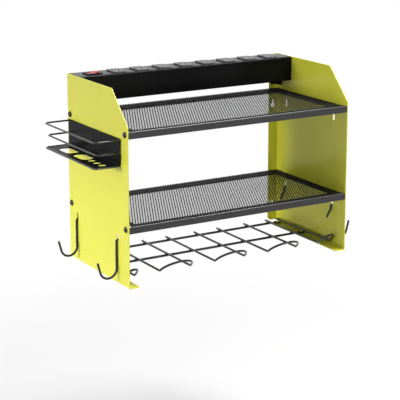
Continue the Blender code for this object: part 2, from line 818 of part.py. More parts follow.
def cross_rods():
    """Rods that carry the loops, flattened at their ends on the bottom flanges."""
    for name, depth in zip(("rear_cross_rod", "middle_cross_rod"), rod_depths()):
        paddle_low = PANEL_SHEET + GAP
        paddle_high = paddle_low + ROD_END_THICKNESS
        tip = PANEL_INNER - GAP - PANEL_BEND_RADIUS
        root = HALF_WIDTH - PANEL_FLANGE + GAP
        rod = prism(circle((depth, ROD_HEIGHT), ROD, ROD_SIDES), "X", -root - OVERRUN, root + OVERRUN)
        for side in (-1, 1):
            half = ROD_END_WIDTH / 2
            near, far = sorted((side * root, side * tip))
            paddle = box((near, depth - half, paddle_low), (far, depth + half, paddle_high))
            rod = join(rod, paddle)
            above = box(
                (min(side * (root + GAP), side * (tip + OVERRUN)), depth - ROD, paddle_high),
                (max(side * (root + GAP), side * (tip + OVERRUN)), depth + ROD, ROD_HEIGHT + ROD),
            )
            rod = cut(rod, above)
            centre = (side * (HALF_WIDTH - RACK_SCREW_INSET), depth)
            hole = circle(centre, RACK_SCREW_HOLE, HOLE_STEPS)
            rod = cut(rod, prism(hole, "Z", paddle_low - OVERRUN, paddle_high + OVERRUN))
        add_object(name, rod, black_wire())


def rack_screws():
    """Four screws that fix the rods' flat ends to the bottom flanges."""
    seat_height = PANEL_SHEET + GAP + ROD_END_THICKNESS + GAP
    solid = button_screw(RACK_SCREW_HEAD, RACK_SCREW_HEAD_HEIGHT, RACK_SCREW_SHANK, seat_height)
    for rod_name, depth in zip(("rear", "middle"), rod_depths()):
        for side_name, side in (("left", -1), ("right", 1)):
            made = add_object("rack_screw_%s_%s" % (rod_name, side_name), solid.copy(), black_wire())
            made.location = (side * (HALF_WIDTH - RACK_SCREW_INSET), depth, seat_height)
    solid.free()


def hook_path(side):
    """Centre line of a side hook about its saddle, from its tail inside to its tip."""
    radius = HOOK_WIRE / 2
    arch = PANEL_SHEET / 2 + GAP + radius
    middle = HALF_WIDTH - PANEL_SHEET / 2
    saddle = SLOT_LOWER_HEIGHT
    tail_corner = (middle - arch, saddle - HOOK_TAIL_DROP)
    tail_end = (
        tail_corner[0] - HOOK_TAIL_LENGTH * math.sin(HOOK_TAIL_ANGLE),
        tail_corner[1] - HOOK_TAIL_LENGTH * math.cos(HOOK_TAIL_ANGLE),
    )
    flat = [tail_end, tail_corner, (middle - arch, saddle)]
    path = rounded_path([(u, 0, v) for u, v in flat], HOOK_TAIL_RADIUS, BEND_STEPS)
    for step in range(1, HOOK_ARCH_STEPS + 1):
        angle = math.pi * step / HOOK_ARCH_STEPS
        path.append(Vector((middle - arch * math.cos(angle), 0, saddle + arch * math.sin(angle))))
    centre = middle + arch + HOOK_BEND_RADIUS
    for step in range(HOOK_BEND_STEPS + 1):
        angle = HOOK_SWEEP * step / HOOK_BEND_STEPS
        u = centre - HOOK_BEND_RADIUS * math.cos(angle)
        v = HOOK_BEND_HEIGHT - HOOK_BEND_RADIUS * math.sin(angle)
        path.append(Vector((u, 0, v)))
    tip_u = path[-1].x + HOOK_TIP_LENGTH * math.sin(math.pi - HOOK_SWEEP)
    tip_v = path[-1].z + HOOK_TIP_LENGTH * math.cos(math.pi - HOOK_SWEEP)
    path.append(Vector((tip_u, 0, tip_v)))
    return [Vector((side * (place.x - middle), 0, place.z - saddle)) for place in path]


def side_hooks():
    """Two hooks on each side, over the lower slots' bottom edges."""
    for side_name, side in (("left", -1), ("right", 1)):
        for end_name, depth in zip(("front", "rear"), SLOT_DEPTHS):
            name = "side_hook_%s_%s" % (side_name, end_name)
            made = wire_object(name, hook_path(side), HOOK_WIRE, black_wire())
            made.location = (side * (HALF_WIDTH - PANEL_SHEET / 2), depth, SLOT_LOWER_HEIGHT)


def bin_plate():
    """Folded back plate and slotted floor, with tabs that hook into the slots.

    The bend is relieved at both ends, where the lowest guard wire is welded in.
    """
    outer = -HALF_WIDTH - GAP
    inner = outer - BIN_SHEET
    reach = -HALF_WIDTH - BIN_REACH + BIN_WIRE / 2 + GAP
    floor_low = BIN_FLOOR_HEIGHT - BIN_SHEET / 2
    floor_high = floor_low + BIN_SHEET
    front = FRONT + BIN_FRONT_SETBACK + BIN_WIRE / 2 + GAP
    back = FRONT + BIN_FRONT_SETBACK + BIN_LENGTH - BIN_WIRE / 2 - GAP
    section = rounded_outline([
        (outer, floor_low, BIN_BEND_RADIUS + BIN_SHEET),
        (outer, BIN_TOP_HEIGHT, 0),
        (inner, BIN_TOP_HEIGHT, 0),
        (inner, floor_high, BIN_BEND_RADIUS),
        (reach, floor_high, 0),
        (reach, floor_low, 0),
    ])
    plate = prism(section, "Y", front - BIN_WIRE, back + BIN_WIRE)
    trim_low = floor_low - OVERRUN
    trim_high = floor_high + BIN_BEND_RADIUS + GAP
    trims = []
    for near, far in ((front - BIN_WIRE - OVERRUN, front), (back, back + BIN_WIRE + OVERRUN)):
        trims.append(box((reach - OVERRUN, near, trim_low), (outer + OVERRUN, far, trim_high)))
    corner = BIN_WIRE_CORNER - BIN_WIRE / 2 - GAP
    for end, inward in ((front, 1), (back, -1)):
        wedge = [
            (reach - OVERRUN, end - inward * OVERRUN),
            (reach + corner + OVERRUN, end - inward * OVERRUN),
            (reach - OVERRUN, end + inward * (corner + OVERRUN)),
        ]
        trims.append(prism(wedge, "Z", trim_low, trim_high))
    for trim in trims:
        plate = cut(plate, trim)
    middle = (inner - BIN_BEND_RADIUS + reach) / 2
    round_pitch = BIN_LENGTH * BIN_ROUND_HOLE_PITCH_SHARE
    slot_pitch = BIN_LENGTH * BIN_SLOT_PITCH_SHARE
    slot_length = BIN_LENGTH * BIN_SLOT_LENGTH_SHARE
    place = front + BIN_LENGTH * BIN_HOLE_LEAD_SHARE
    holes = []
    for _ in range(BIN_ROUND_HOLE_COUNT):
        holes.append(circle((middle, place), BIN_ROUND_HOLE, HOLE_STEPS))
        place += round_pitch
    place += (slot_length - round_pitch) / 2
    for _ in range(BIN_SLOT_COUNT):
        holes.append(oblong((middle, place), BIN_SLOT_WIDTH, slot_length, FILLET_STEPS))
        place += slot_pitch
    holes = [prism(hole, "Z", trim_low, floor_high + OVERRUN) for hole in holes]
    plate = cut(plate, merged(holes))
    for depth in SLOT_DEPTHS:
        plate = join(plate, bin_tab(depth))
    return add_object("side_bin_plate", plate, dark_paint())


def bin_tab(depth):
    """Hooked tab: through the slot, then down behind the panel.

    It is short enough for the bin to lift off below the shelf screw's head.
    """
    root = -HALF_WIDTH - GAP - BIN_SHEET / 2
    behind = -PANEL_INNER + GAP
    end = behind + BIN_TAB_REACH
    slot_radius = SLOT_WIDTH / 2
    sagitta = slot_radius - math.sqrt(slot_radius ** 2 - (BIN_SHEET / 2) ** 2)
    seat = SLOT_UPPER_HEIGHT + sagitta + GAP
    top = seat + BIN_TAB_HEIGHT
    corner = BIN_SHEET
    outline = rounded_outline([
        (root, seat, 0),
        (root, top, 0),
        (end, top, corner),
        (end, seat - BIN_TAB_DROP, corner),
        (behind, seat - BIN_TAB_DROP, 0),
        (behind, seat, 0),
    ])
    return prism(outline, "Y", depth - BIN_SHEET / 2, depth + BIN_SHEET / 2)


def side_bin():
    """The bin's plate and wires, all riding on one empty at its hanging line."""
    carrier = bpy.data.objects.new("side_bin", None)
    carrier.location = (-HALF_WIDTH, (SLOT_DEPTHS[0] + SLOT_DEPTHS[1]) / 2, SLOT_UPPER_HEIGHT)
    bpy.context.collection.objects.link(carrier)
    for made in [bin_plate()] + bin_wires():
        made.parent = carrier
        made.matrix_parent_inverse = Matrix.Translation(-carrier.location)


def bin_wires():
    """Three guard wires round the bin's open sides."""
    made = []
    relief = -HALF_WIDTH - GAP
    face = relief - BIN_SHEET - GAP
    front = FRONT + BIN_FRONT_SETBACK
    back = front + BIN_LENGTH
    levels = (
        ("bottom", 0, 0, relief),
        ("middle", 1, BIN_MIDDLE_WIRE_INSET, face),
        ("top", 2, 0, face),
    )
    for level_name, level, inset, start in levels:
        height = BIN_FLOOR_HEIGHT + level * BIN_WIRE_PITCH
        reach = -HALF_WIDTH - BIN_REACH + inset
        corners = [
            (start, front, height),
            (reach, front, height),
            (reach, back, height),
            (start, back, height),
        ]
        path = rounded_path(corners, BIN_WIRE_CORNER, BIN_WIRE_CORNER_STEPS)
        made.append(wire_object("side_bin_wire_" + level_name, path, BIN_WIRE, black_wire()))
    return made


def strip_outline(low, high, low_radius, front_radius, back_radius):
    """(y, z) outline of the strip's body between two heights."""
    return rounded_outline([
        (STRIP_FRONT, low, low_radius),
        (STRIP_FRONT, high, front_radius),
        (STRIP_BACK, high, back_radius),
        (STRIP_BACK, low, low_radius),
    ])


def strip_cover():
    """Upper shell of the strip with its outlet and switch openings."""
    shell = prism(
        strip_outline(STRIP_SPLIT + GAP, STRIP_TOP, 0, STRIP_FRONT_RADIUS, STRIP_BACK_RADIUS),
        "X", -BODY_END, BODY_END,
    )
    hollow = box(
        (-BODY_END - OVERRUN, STRIP_FRONT + STRIP_WALL, STRIP_SPLIT - OVERRUN),
        (BODY_END + OVERRUN, STRIP_BACK - STRIP_WALL, STRIP_TOP - STRIP_WALL),
    )
    shell = cut(shell, hollow)
    low = STRIP_TOP - STRIP_WALL - OVERRUN
    high = STRIP_TOP + OVERRUN
    openings = []
    for x in outlet_places():
        openings.append(prism(outlet_outline(x, STRIP_MIDDLE, GAP), "Z", low, high))
    openings.append(prism(bezel_outline(GAP), "Z", low, high))
    add_object("strip_cover", cut(shell, merged(openings)), black_plastic())


def strip_base():
    """Lower tray of the strip with slotted ribs that carry the bars."""
    tray = prism(
        strip_outline(STRIP_BOTTOM, STRIP_SPLIT, STRIP_BACK_RADIUS, 0, 0), "X", -BODY_END, BODY_END
    )
    hollow = box(
        (-BODY_END - OVERRUN, STRIP_FRONT + STRIP_WALL, STRIP_BOTTOM + STRIP_WALL),
        (BODY_END + OVERRUN, STRIP_BACK - STRIP_WALL, STRIP_SPLIT + OVERRUN),
    )
    tray = cut(tray, hollow)
    for x in rib_places():
        low = (
            x - RIB_THICKNESS / 2,
            STRIP_FRONT + STRIP_WALL + GAP,
            STRIP_BOTTOM + STRIP_WALL / 2,
        )
        high = (
            x + RIB_THICKNESS / 2,
            STRIP_BACK - STRIP_WALL - GAP,
            STRIP_BOTTOM + STRIP_WALL + RIB_HEIGHT,
        )
        tray = join(tray, box(low, high))
    rib_top = STRIP_BOTTOM + STRIP_WALL + RIB_HEIGHT
    slots = []
    for y in bar_depths():
        half = BAR_THICKNESS / 2 + GAP
        for x in rib_places():
            slots.append(box(
                (x - RIB_THICKNESS, y - half, rib_top - RIB_SLOT_DEPTH),
                (x + RIB_THICKNESS, y + half, rib_top + OVERRUN),
            ))
    tray = cut(tray, merged(slots))
    hole = circle(gland_centre(), GLAND_SHANK + 2 * GAP, GLAND_SIDES)
    low = STRIP_BOTTOM - OVERRUN
    high = STRIP_BOTTOM + STRIP_WALL + OVERRUN
    add_object("strip_base", cut(tray, prism(hole, "Z", low, high)), black_plastic())


def rib_places():
    """X of the ribs, evenly between the first and last outlets."""
    places = outlet_places()
    first = places[0] + OUTLET_PITCH / 2
    last = places[-1] - OUTLET_PITCH / 2
    return [first + (last - first) * index / (RIB_COUNT - 1) for index in range(RIB_COUNT)]


def bar_depths():
    middle = (len(BAR_NAMES) - 1) / 2
    return [STRIP_MIDDLE + (index - middle) * BAR_SPACING for index in range(len(BAR_NAMES))]


def bus_bars():
    """Live, neutral and earth bars standing in the ribs' slots."""
    low = STRIP_BOTTOM + STRIP_WALL + RIB_HEIGHT - RIB_SLOT_DEPTH + GAP
    brass = material("brass", (0.62, 0.42, 0.15), 0.35, 1.0)
    places = rib_places()
    start = places[0] - BAR_END_MARGIN
    end = places[-1] + BAR_END_MARGIN
    for name, y in zip(BAR_NAMES, bar_depths()):
        half = BAR_THICKNESS / 2
        bar = box((start, y - half, low), (end, y + half, low + BAR_HEIGHT))
        add_object(name, bar, brass)


def end_caps():
    """Caps that close the strip's ends, each with an ear for its fixing screw."""
    for name, side in (("left_end_cap", -1), ("right_end_cap", 1)):
        near, far = sorted((side * (STRIP_END - STRIP_CAP_THICKNESS), side * STRIP_END))
        outline = strip_outline(
            STRIP_BOTTOM, STRIP_TOP, STRIP_BACK_RADIUS, STRIP_FRONT_RADIUS, STRIP_BACK_RADIUS
        )
        cap = prism(outline, "X", near, far)
        near, far = sorted((side * STRIP_END, side * (STRIP_END - EAR_LENGTH)))
        ear_front = STRIP_BACK - STRIP_WALL
        ear = box(
            (near, ear_front, STRIP_BOTTOM - EAR_DROP),
            (far, STRIP_BACK, STRIP_BOTTOM - GAP),
        )
        near, far = sorted((side * STRIP_END, side * (STRIP_END - STRIP_CAP_THICKNESS)))
        foot = box(
            (near, ear_front - EAR_LENGTH, STRIP_BOTTOM - EAR_DROP),
            (far, STRIP_BACK, STRIP_BOTTOM + STRIP_BACK_RADIUS + GAP),
        )
        cap = join(join(cap, foot), ear)
        centre = (side * ear_screw_place(), STRIP_BOTTOM - EAR_SCREW_DROP)
        hole = circle(centre, RACK_SCREW_HOLE, HOLE_STEPS)
        cap = cut(cap, prism(hole, "Y", ear_front - OVERRUN, STRIP_BACK + OVERRUN))
        add_object(name, cap, black_plastic())


def strip_screws():
    """Screws through the ears into the panels' back flanges."""
    seat_depth = STRIP_BACK - STRIP_WALL - GAP
    solid = button_screw(RACK_SCREW_HEAD, RACK_SCREW_HEAD_HEIGHT, RACK_SCREW_SHANK, -seat_depth)
    for name, side in (("left_strip_screw", -1), ("right_strip_screw", 1)):
        made = add_object(name, solid.copy(), black_wire())
        made.location = (side * ear_screw_place(), seat_depth, STRIP_BOTTOM - EAR_SCREW_DROP)
        made.rotation_euler = (math.pi / 2, 0, 0)
    solid.free()


def outlet_places():
    """X of the outlets' middles."""
    return [-HALF_WIDTH + OUTLET_FIRST + index * OUTLET_PITCH for index in range(OUTLET_COUNT)]


def outlet_outline(x, y, growth=0):
    """(x, y) outline of an outlet's raised face, grown for its opening."""
    half_x = OUTLET_WIDTH / 2 + growth
    half_y = OUTLET_LENGTH / 2 + growth
    radius = OUTLET_FILLET + growth
    corners = [
        (x - half_x, y - half_y, radius),
        (x + half_x, y - half_y, radius),
        (x + half_x, y + half_y, radius),
        (x - half_x, y + half_y, radius),
    ]
    return rounded_outline(corners, OUTLET_FILLET_STEPS)


def outlets():
    """Eight outlets: a raised face, a flange under the cover and three sockets."""
    half_x = OUTLET_WIDTH / 2 + OUTLET_FLANGE
    half_y = OUTLET_LENGTH / 2 + OUTLET_FLANGE
    flange_top = -STRIP_WALL - GAP
    face = outlet_outline(0, 0)
    body = prism(face, "Z", -OUTLET_DEPTH, OUTLET_RISE)
    flange = box((-half_x, -half_y, flange_top - OUTLET_FLANGE), (half_x, half_y, flange_top))
    body = join(body, flange)
    low = OUTLET_RISE - SOCKET_DEPTH
    high = OUTLET_RISE + OVERRUN
    sockets = []
    for side in (-1, 1):
        middle = side * BLADE_SPACING / 2
        sockets.append(box(
            (middle - BLADE_SLOT_WIDTH / 2, BLADE_SHIFT - BLADE_SLOT_LENGTH / 2, low),
            (middle + BLADE_SLOT_WIDTH / 2, BLADE_SHIFT + BLADE_SLOT_LENGTH / 2, high),
        ))
    earth = circle((0, -EARTH_SHIFT), EARTH_HOLE, HOLE_STEPS)
    sockets.append(prism(earth, "Z", low, high))
    body = cut(body, merged(sockets))
    for index, x in enumerate(outlet_places()):
        made = add_object("outlet_%d" % (index + 1), body.copy(), grey_plastic())
        made.location = (x, STRIP_MIDDLE, STRIP_TOP)
    body.free()


def rocker_x():
    return -HALF_WIDTH + ROCKER_PLACE


def pocket_half():
    """Half length and width of the pocket that the rocker moves in."""
    corner = math.hypot(ROCKER_LENGTH / 2, rocker_end_height())
    return corner + ROCKER_RUN, ROCKER_WIDTH / 2 + GAP


def rocker_end_height():
    return ROCKER_VALLEY + ROCKER_LENGTH / 2 * math.tan(ROCKER_FACE_ANGLE)


def bezel_outline(growth):
    """(x, y) outline of the switch body that passes through the cover."""
    pocket_x, pocket_y = pocket_half()
    half_x = pocket_x + BEZEL_WALL + growth
    half_y = pocket_y + BEZEL_WALL + growth
    x = rocker_x()
    return [
        (x - half_x, STRIP_MIDDLE - half_y),
        (x + half_x, STRIP_MIDDLE - half_y),
        (x + half_x, STRIP_MIDDLE + half_y),
        (x - half_x, STRIP_MIDDLE + half_y),
    ]


def pivot_height():
    return STRIP_TOP + BEZEL_RISE - ROCKER_PIVOT_LIFT - ROCKER_SKIRT / 2


def switch_bezel():
    """Switch body: a rimmed cup with bearing holes for the rocker's pins."""
    rim_low = STRIP_TOP + GAP
    rim_high = rim_low + BEZEL_RISE
    body = prism(bezel_outline(0), "Z", STRIP_TOP - BEZEL_DEPTH, rim_high)
    rim = prism(bezel_outline(BEZEL_RIM), "Z", rim_low, rim_high)
    body = join(body, rim)
    pocket_x, pocket_y = pocket_half()
    x = rocker_x()
    pocket = box(
        (x - pocket_x, STRIP_MIDDLE - pocket_y, STRIP_TOP - BEZEL_DEPTH + BEZEL_FLOOR),
        (x + pocket_x, STRIP_MIDDLE + pocket_y, rim_high + OVERRUN),
    )
    body = cut(body, pocket)
    reach = pocket_y + PIVOT_PIN_LENGTH + GAP
    bore = circle((x, pivot_height()), PIVOT_PIN + 2 * GAP, PIVOT_SIDES)
    body = cut(body, prism(bore, "Y", STRIP_MIDDLE - reach, STRIP_MIDDLE + reach))
    add_object("switch_bezel", body, black_plastic())


def rocker():
    """Rocker with a shallow V face, tipped over its pins to the left."""
    half = ROCKER_LENGTH / 2
    end = rocker_end_height()
    foot = ROCKER_FOOT / 2
    section = [
        (-half, end),
        (-half, -ROCKER_SKIRT / 2),
        (-foot, -ROCKER_SKIRT),
        (foot, -ROCKER_SKIRT),
        (half, -ROCKER_SKIRT / 2),
        (half, end),
        (0, ROCKER_VALLEY),
    ]
    width = ROCKER_WIDTH / 2
    paddle = prism(section, "Y", -width, width)
    reach = width + PIVOT_PIN_LENGTH
    pin = prism(circle((0, 0), PIVOT_PIN, PIVOT_SIDES), "Y", -reach, reach)
    paddle = join(paddle, pin)
    red = material("red_translucent_plastic", (0.55, 0.01, 0.01), 0.2)
    made = add_object("rocker", paddle, red)
    made.location = (rocker_x(), STRIP_MIDDLE, pivot_height())
    made.rotation_euler = (0, -ROCKER_FACE_ANGLE, 0)


def gland_centre():
    """(x, y) of the cable gland."""
    return (-BODY_END + GLAND_PLACE, STRIP_MIDDLE)


def cable_gland():
    """Turned gland through the strip's floor, open along its bore."""
    bore = GLAND_BORE / 2
    top = STRIP_WALL + GAP + GLAND_HEAD_HEIGHT / 2
    profile = [
        (bore, -GLAND_HEAD_HEIGHT - GLAND_NOSE_HEIGHT),
        (GLAND_NOSE / 2 - GLAND_NOSE_TAPER, -GLAND_HEAD_HEIGHT - GLAND_NOSE_HEIGHT),
        (GLAND_NOSE / 2, -GLAND_HEAD_HEIGHT),
        (GLAND_HEAD / 2, -GLAND_HEAD_HEIGHT),
        (GLAND_HEAD / 2, -GAP),
        (GLAND_SHANK / 2, -GAP),
        (GLAND_SHANK / 2, top),
        (bore, top),
    ]
    made = add_object("cable_gland", revolved(profile, GLAND_SIDES), black_plastic())
    made.location = (*gland_centre(), STRIP_BOTTOM)


def main():
    for old in list(bpy.data.objects):
        bpy.data.objects.remove(old)
    side_panels()
    for level, top in (("upper", UPPER_SHELF_TOP), ("lower", LOWER_SHELF_TOP)):
        shelf_frame(level + "_shelf_frame", top)
        shelf_mesh(level + "_shelf_mesh", top)
    shelf_screws()
    hanger_loops()
    cross_rods()
    rack_screws()
    side_hooks()
    side_bin()
    strip_base()
    strip_cover()
    end_caps()
    strip_screws()
    bus_bars()
    outlets()
    switch_bezel()
    rocker()
    cable_gland()


main()
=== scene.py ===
# %% [markdown]
# # A wall-mounted organizer
# Two folded side panels carry two expanded-metal shelves, a power strip, a rack
# of wire hanger loops, four side hooks and a side bin. The solids come from the
# part's own source. This lesson dresses them: thin sheet gets soft edges, wire
# gets round, screws get their sockets and the shelves get their fine mesh.

# %% Load the solids
import math

import bmesh
import bpy
import numpy as np
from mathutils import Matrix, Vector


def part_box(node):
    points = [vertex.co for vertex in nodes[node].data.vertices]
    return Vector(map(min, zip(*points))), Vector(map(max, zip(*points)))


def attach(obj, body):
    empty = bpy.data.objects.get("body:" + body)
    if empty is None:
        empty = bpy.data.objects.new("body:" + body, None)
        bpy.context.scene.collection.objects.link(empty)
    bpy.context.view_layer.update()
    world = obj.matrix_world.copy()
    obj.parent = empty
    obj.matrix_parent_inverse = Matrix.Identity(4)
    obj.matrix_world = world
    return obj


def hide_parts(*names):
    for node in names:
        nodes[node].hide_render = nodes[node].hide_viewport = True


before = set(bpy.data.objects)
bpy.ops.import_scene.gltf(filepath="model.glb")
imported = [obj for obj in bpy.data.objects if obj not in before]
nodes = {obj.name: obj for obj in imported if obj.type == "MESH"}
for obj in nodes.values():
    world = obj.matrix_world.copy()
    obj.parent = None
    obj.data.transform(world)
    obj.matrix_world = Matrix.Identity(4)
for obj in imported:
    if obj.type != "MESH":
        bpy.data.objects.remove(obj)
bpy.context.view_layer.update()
print("solids loaded:", len(nodes))

# %% [markdown]
# ## The sizes that the pieces share
# The same few sizes set where everything sits. Writing them here, in metres and
# once, keeps each later cell short, and a piece made from them lands on its
# solid. X runs to the right, Y towards the wall and Z up.

# %% Shared sizes
HALF_WIDTH = 0.220
DEPTH = 0.223
HEIGHT = 0.329
SHEET = 0.0015
FLANGE = 0.020
BEND_RADIUS = 0.0010
GAP = 0.0003
PANEL_INNER = HALF_WIDTH - SHEET
SIDES = (("left", -1), ("right", 1))
SHELF_TOPS = {"upper": 0.265, "lower": 0.106}
SCREW_DEPTHS = {"front": -0.2135, "rear": -0.0113}
SCREW_DROP = 0.006
SLOT_DEPTHS = {"front": -0.183, "rear": -0.033}
HOOK_SEAT = 0.0725
BIN_SEAT = 0.232
ROD_DEPTHS = {"rear": -0.018, "middle": -0.09812}
ROD_SCREW_SIDE = 0.2065
EAR_SCREW_SIDE = 0.2088
EAR_SCREW_HEIGHT = 0.2775
STRIP_MIDDLE = (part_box("strip_cover")[0][1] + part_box("strip_cover")[1][1]) / 2
STRIP_TOP = HEIGHT
print("strip runs along y = %.5f" % STRIP_MIDDLE)

# %% [markdown]
# ## Rings of points
# Most pieces here are rings of points: a wire's round section carried along its
# path, or a turned screw's circles one above the other. Numpy works out all the
# rings at once. Neighbouring rings are joined by four-sided faces, and each end
# is closed by a fan of triangles round one middle point.

# %% Ring helpers
NO_TRIANGLES = np.zeros((0, 3), dtype=int)


def turned(profile, sides):
    """Rings (r cos a, r sin a, z), one for each (r, z) of a turned profile.

    r is one radius, or an array that holds one for each angle.
    """
    angle = np.linspace(0, 2 * math.pi, sides, endpoint=False)
    return np.stack([
        np.stack([r * np.cos(angle), r * np.sin(angle), z + 0 * angle], axis=-1)
        for r, z in profile
    ])


def ring_quads(count, around, looped=False):
    """Fours between neighbouring rings, and from the last to the first if looped.

    Point j of ring i has the number i * around + j.
    """
    ring = np.arange(count if looped else count - 1)[:, None] * around
    above = (ring + around) % (count * around)
    here = np.arange(around)
    after = (here + 1) % around
    quads = np.stack([ring + here, ring + after, above + after, above + here], axis=-1)
    return quads.reshape(-1, 4)


def end_fans(count, around):
    """Threes that close both ends; the two middle points come after all rings."""
    here = np.arange(around)
    after = (here + 1) % around
    last = (count - 1) * around
    middle = np.full(around, count * around)
    start = np.stack([middle, after, here], axis=-1)
    end = np.stack([middle + 1, last + here, last + after], axis=-1)
    return np.concatenate([start, end])


def close_rings(rings):
    """Points and faces of a closed shape from rings of shape (count, around, 3)."""
    count, around, _ = rings.shape
    middles = np.stack([rings[0].mean(axis=0), rings[-1].mean(axis=0)])
    points = np.concatenate([rings.reshape(-1, 3), middles])
    return points, ring_quads(count, around), end_fans(count, around)


def loop_rings(rings):
    """Points and faces of a hollow shape whose last ring meets the first."""
    count, around, _ = rings.shape
    return rings.reshape(-1, 3), ring_quads(count, around, looped=True), NO_TRIANGLES


print("3 rings of 8 points make", len(ring_quads(3, 8)), "fours and", len(end_fans(3, 8)), "threes")

# %% [markdown]
# ## From arrays to a mesh
# Some pieces are made of several closed shapes, such as a row of welds. If the
# volume of a shape comes out negative, its faces point inwards, and they are
# turned round. Then all of the arrays go into one mesh.

# %% Mesh helpers
def volume(points, quads, triangles):
    """Signed volume: a sixth of the sum of the triple product of each triangle."""
    split = np.concatenate([quads[:, [0, 1, 2]], quads[:, [0, 2, 3]], triangles])
    a, b, c = (points[split[:, corner]] for corner in range(3))
    return float(np.einsum("ij,ij->i", a, np.cross(b, c)).sum() / 6)


def joined(shapes):
    """One set of arrays from several, each turned so that its faces look outwards."""
    points, quads, triangles, offset = [], [], [], 0
    for some_points, some_quads, some_triangles in shapes:
        if volume(some_points, some_quads, some_triangles) < 0:
            some_quads = some_quads[:, ::-1]
            some_triangles = some_triangles[:, ::-1]
        points.append(some_points)
        quads.append(some_quads + offset)
        triangles.append(some_triangles + offset)
        offset += len(some_points)
    return np.concatenate(points), np.concatenate(quads), np.concatenate(triangles)


def mesh_from(shapes):
    """Mesh of closed shapes: all of their fours come first, then the threes."""
    points, quads, triangles = joined(shapes)
    mesh = bpy.data.meshes.new("surface")
    mesh.from_pydata(points, [], quads.tolist() + triangles.tolist())
    mesh.validate()
    return mesh


rod = close_rings(turned([(1, 0), (1, 2)], 64))
print("a rod of 64 sides has %.3f of a round rod's volume" % abs(volume(*rod) / (2 * math.pi)))

# %% [markdown]
# ## Putting a piece in its place
# Every piece rides on a body, so that it moves with its joint. It wears the
# finish of its slot, or another finish that is named, and it hides the solid that
# it stands for, if there is one. Weighted normals keep wide flat faces flat in
# the light while the narrow rounded edges beside them turn smoothly.

# %% Placing helpers
CREASE = math.radians(38)
finishes = {}
counts = {}


def even_light(piece):
    """Let the largest face at a corner lead its normal."""
    level = piece.modifiers.new("even_light", "WEIGHTED_NORMAL")
    level.keep_sharp = True


def settle(name, mesh, body, slot, replaced, weighted=True, finish=None):
    """Link a mesh as a smooth-shaded piece on its body, in place of its solid.

    The piece wears the finish of its slot, unless another one is named.
    """
    mesh.name = name
    mesh.shade_smooth()
    mesh.set_sharp_from_angle(angle=CREASE)
    piece = bpy.data.objects.new(name, mesh)
    bpy.context.collection.objects.link(piece)
    if weighted:
        even_light(piece)
    mesh.materials.clear()
    mesh.materials.append(finishes[finish or slot])
    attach(piece, body)
    if replaced:
        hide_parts(replaced)
    counts[name] = len(mesh.polygons)
    return piece


print("edges of more than %.0f degrees stay sharp" % math.degrees(CREASE))

# %% [markdown]
# ## Finishes
# All of the finishes are built the same way: a soft noise shifts the colour and
# the roughness a little from place to place, because no coat is perfectly even,
# and finer noises give the surface its touch. The noises read object
# coordinates, which here are metres on the real thing, so a noise of scale 300
# has grains of about 3 mm. The helpers below do the wiring.

# %% Node helpers
def add_noise(tree, place, scale, detail, stretch=None):
    """Noise texture on object coordinates, stretched along an axis if asked."""
    if stretch:
        mapping = tree.nodes.new("ShaderNodeMapping")
        mapping.inputs["Scale"].default_value = stretch
        tree.links.new(place, mapping.inputs["Vector"])
        place = mapping.outputs["Vector"]
    noise = tree.nodes.new("ShaderNodeTexNoise")
    noise.inputs["Scale"].default_value = scale
    noise.inputs["Detail"].default_value = detail
    tree.links.new(place, noise.inputs["Vector"])
    return noise.outputs["Fac"]


def map_range(tree, value, before, after, curve="LINEAR"):
    """Carry the span of numbers before over to the span after."""
    ranged = tree.nodes.new("ShaderNodeMapRange")
    ranged.interpolation_type = curve
    names = ("From Min", "From Max", "To Min", "To Max")
    for name, number in zip(names, (*before, *after)):
        ranged.inputs[name].default_value = number
    tree.links.new(value, ranged.inputs["Value"])
    return ranged.outputs["Result"]


def combine(tree, operation, *values):
    """Math node; each value is a plain number or another node's output."""
    node = tree.nodes.new("ShaderNodeMath")
    node.operation = operation
    for socket, value in zip(node.inputs, values):
        if isinstance(value, bpy.types.NodeSocket):
            tree.links.new(value, socket)
        else:
            socket.default_value = value
    return node.outputs["Value"]


print("grains of a noise of scale 300: %.1f mm" % (1000 / 300))

# %% [markdown]
# A noise's values crowd round its middle, so only its busy part is used and
# spread over the whole span. Relief is a chain of bump nodes, and each of them
# hands its normal on to the next. A finish is then a name, two colours, a span
# of roughness, its relief and a few plain numbers.

# %% Finish helper
BUSY_NOISE = (0.32, 0.68)
DRIFT_DETAIL = 3
MIX_COLOURS = slice(6, 8)
MIX_RESULT = 2


def add_relief(tree, shader, place, layers):
    """Chain of bump nodes. A layer: noise scale, detail, height in metres, stretch."""
    normal = None
    for scale, detail, tall, *stretch in layers:
        bump = tree.nodes.new("ShaderNodeBump")
        bump.inputs["Distance"].default_value = tall
        tree.links.new(add_noise(tree, place, scale, detail, *stretch), bump.inputs["Height"])
        if normal:
            tree.links.new(normal, bump.inputs["Normal"])
        normal = bump.outputs["Normal"]
    tree.links.new(normal, shader.inputs["Normal"])


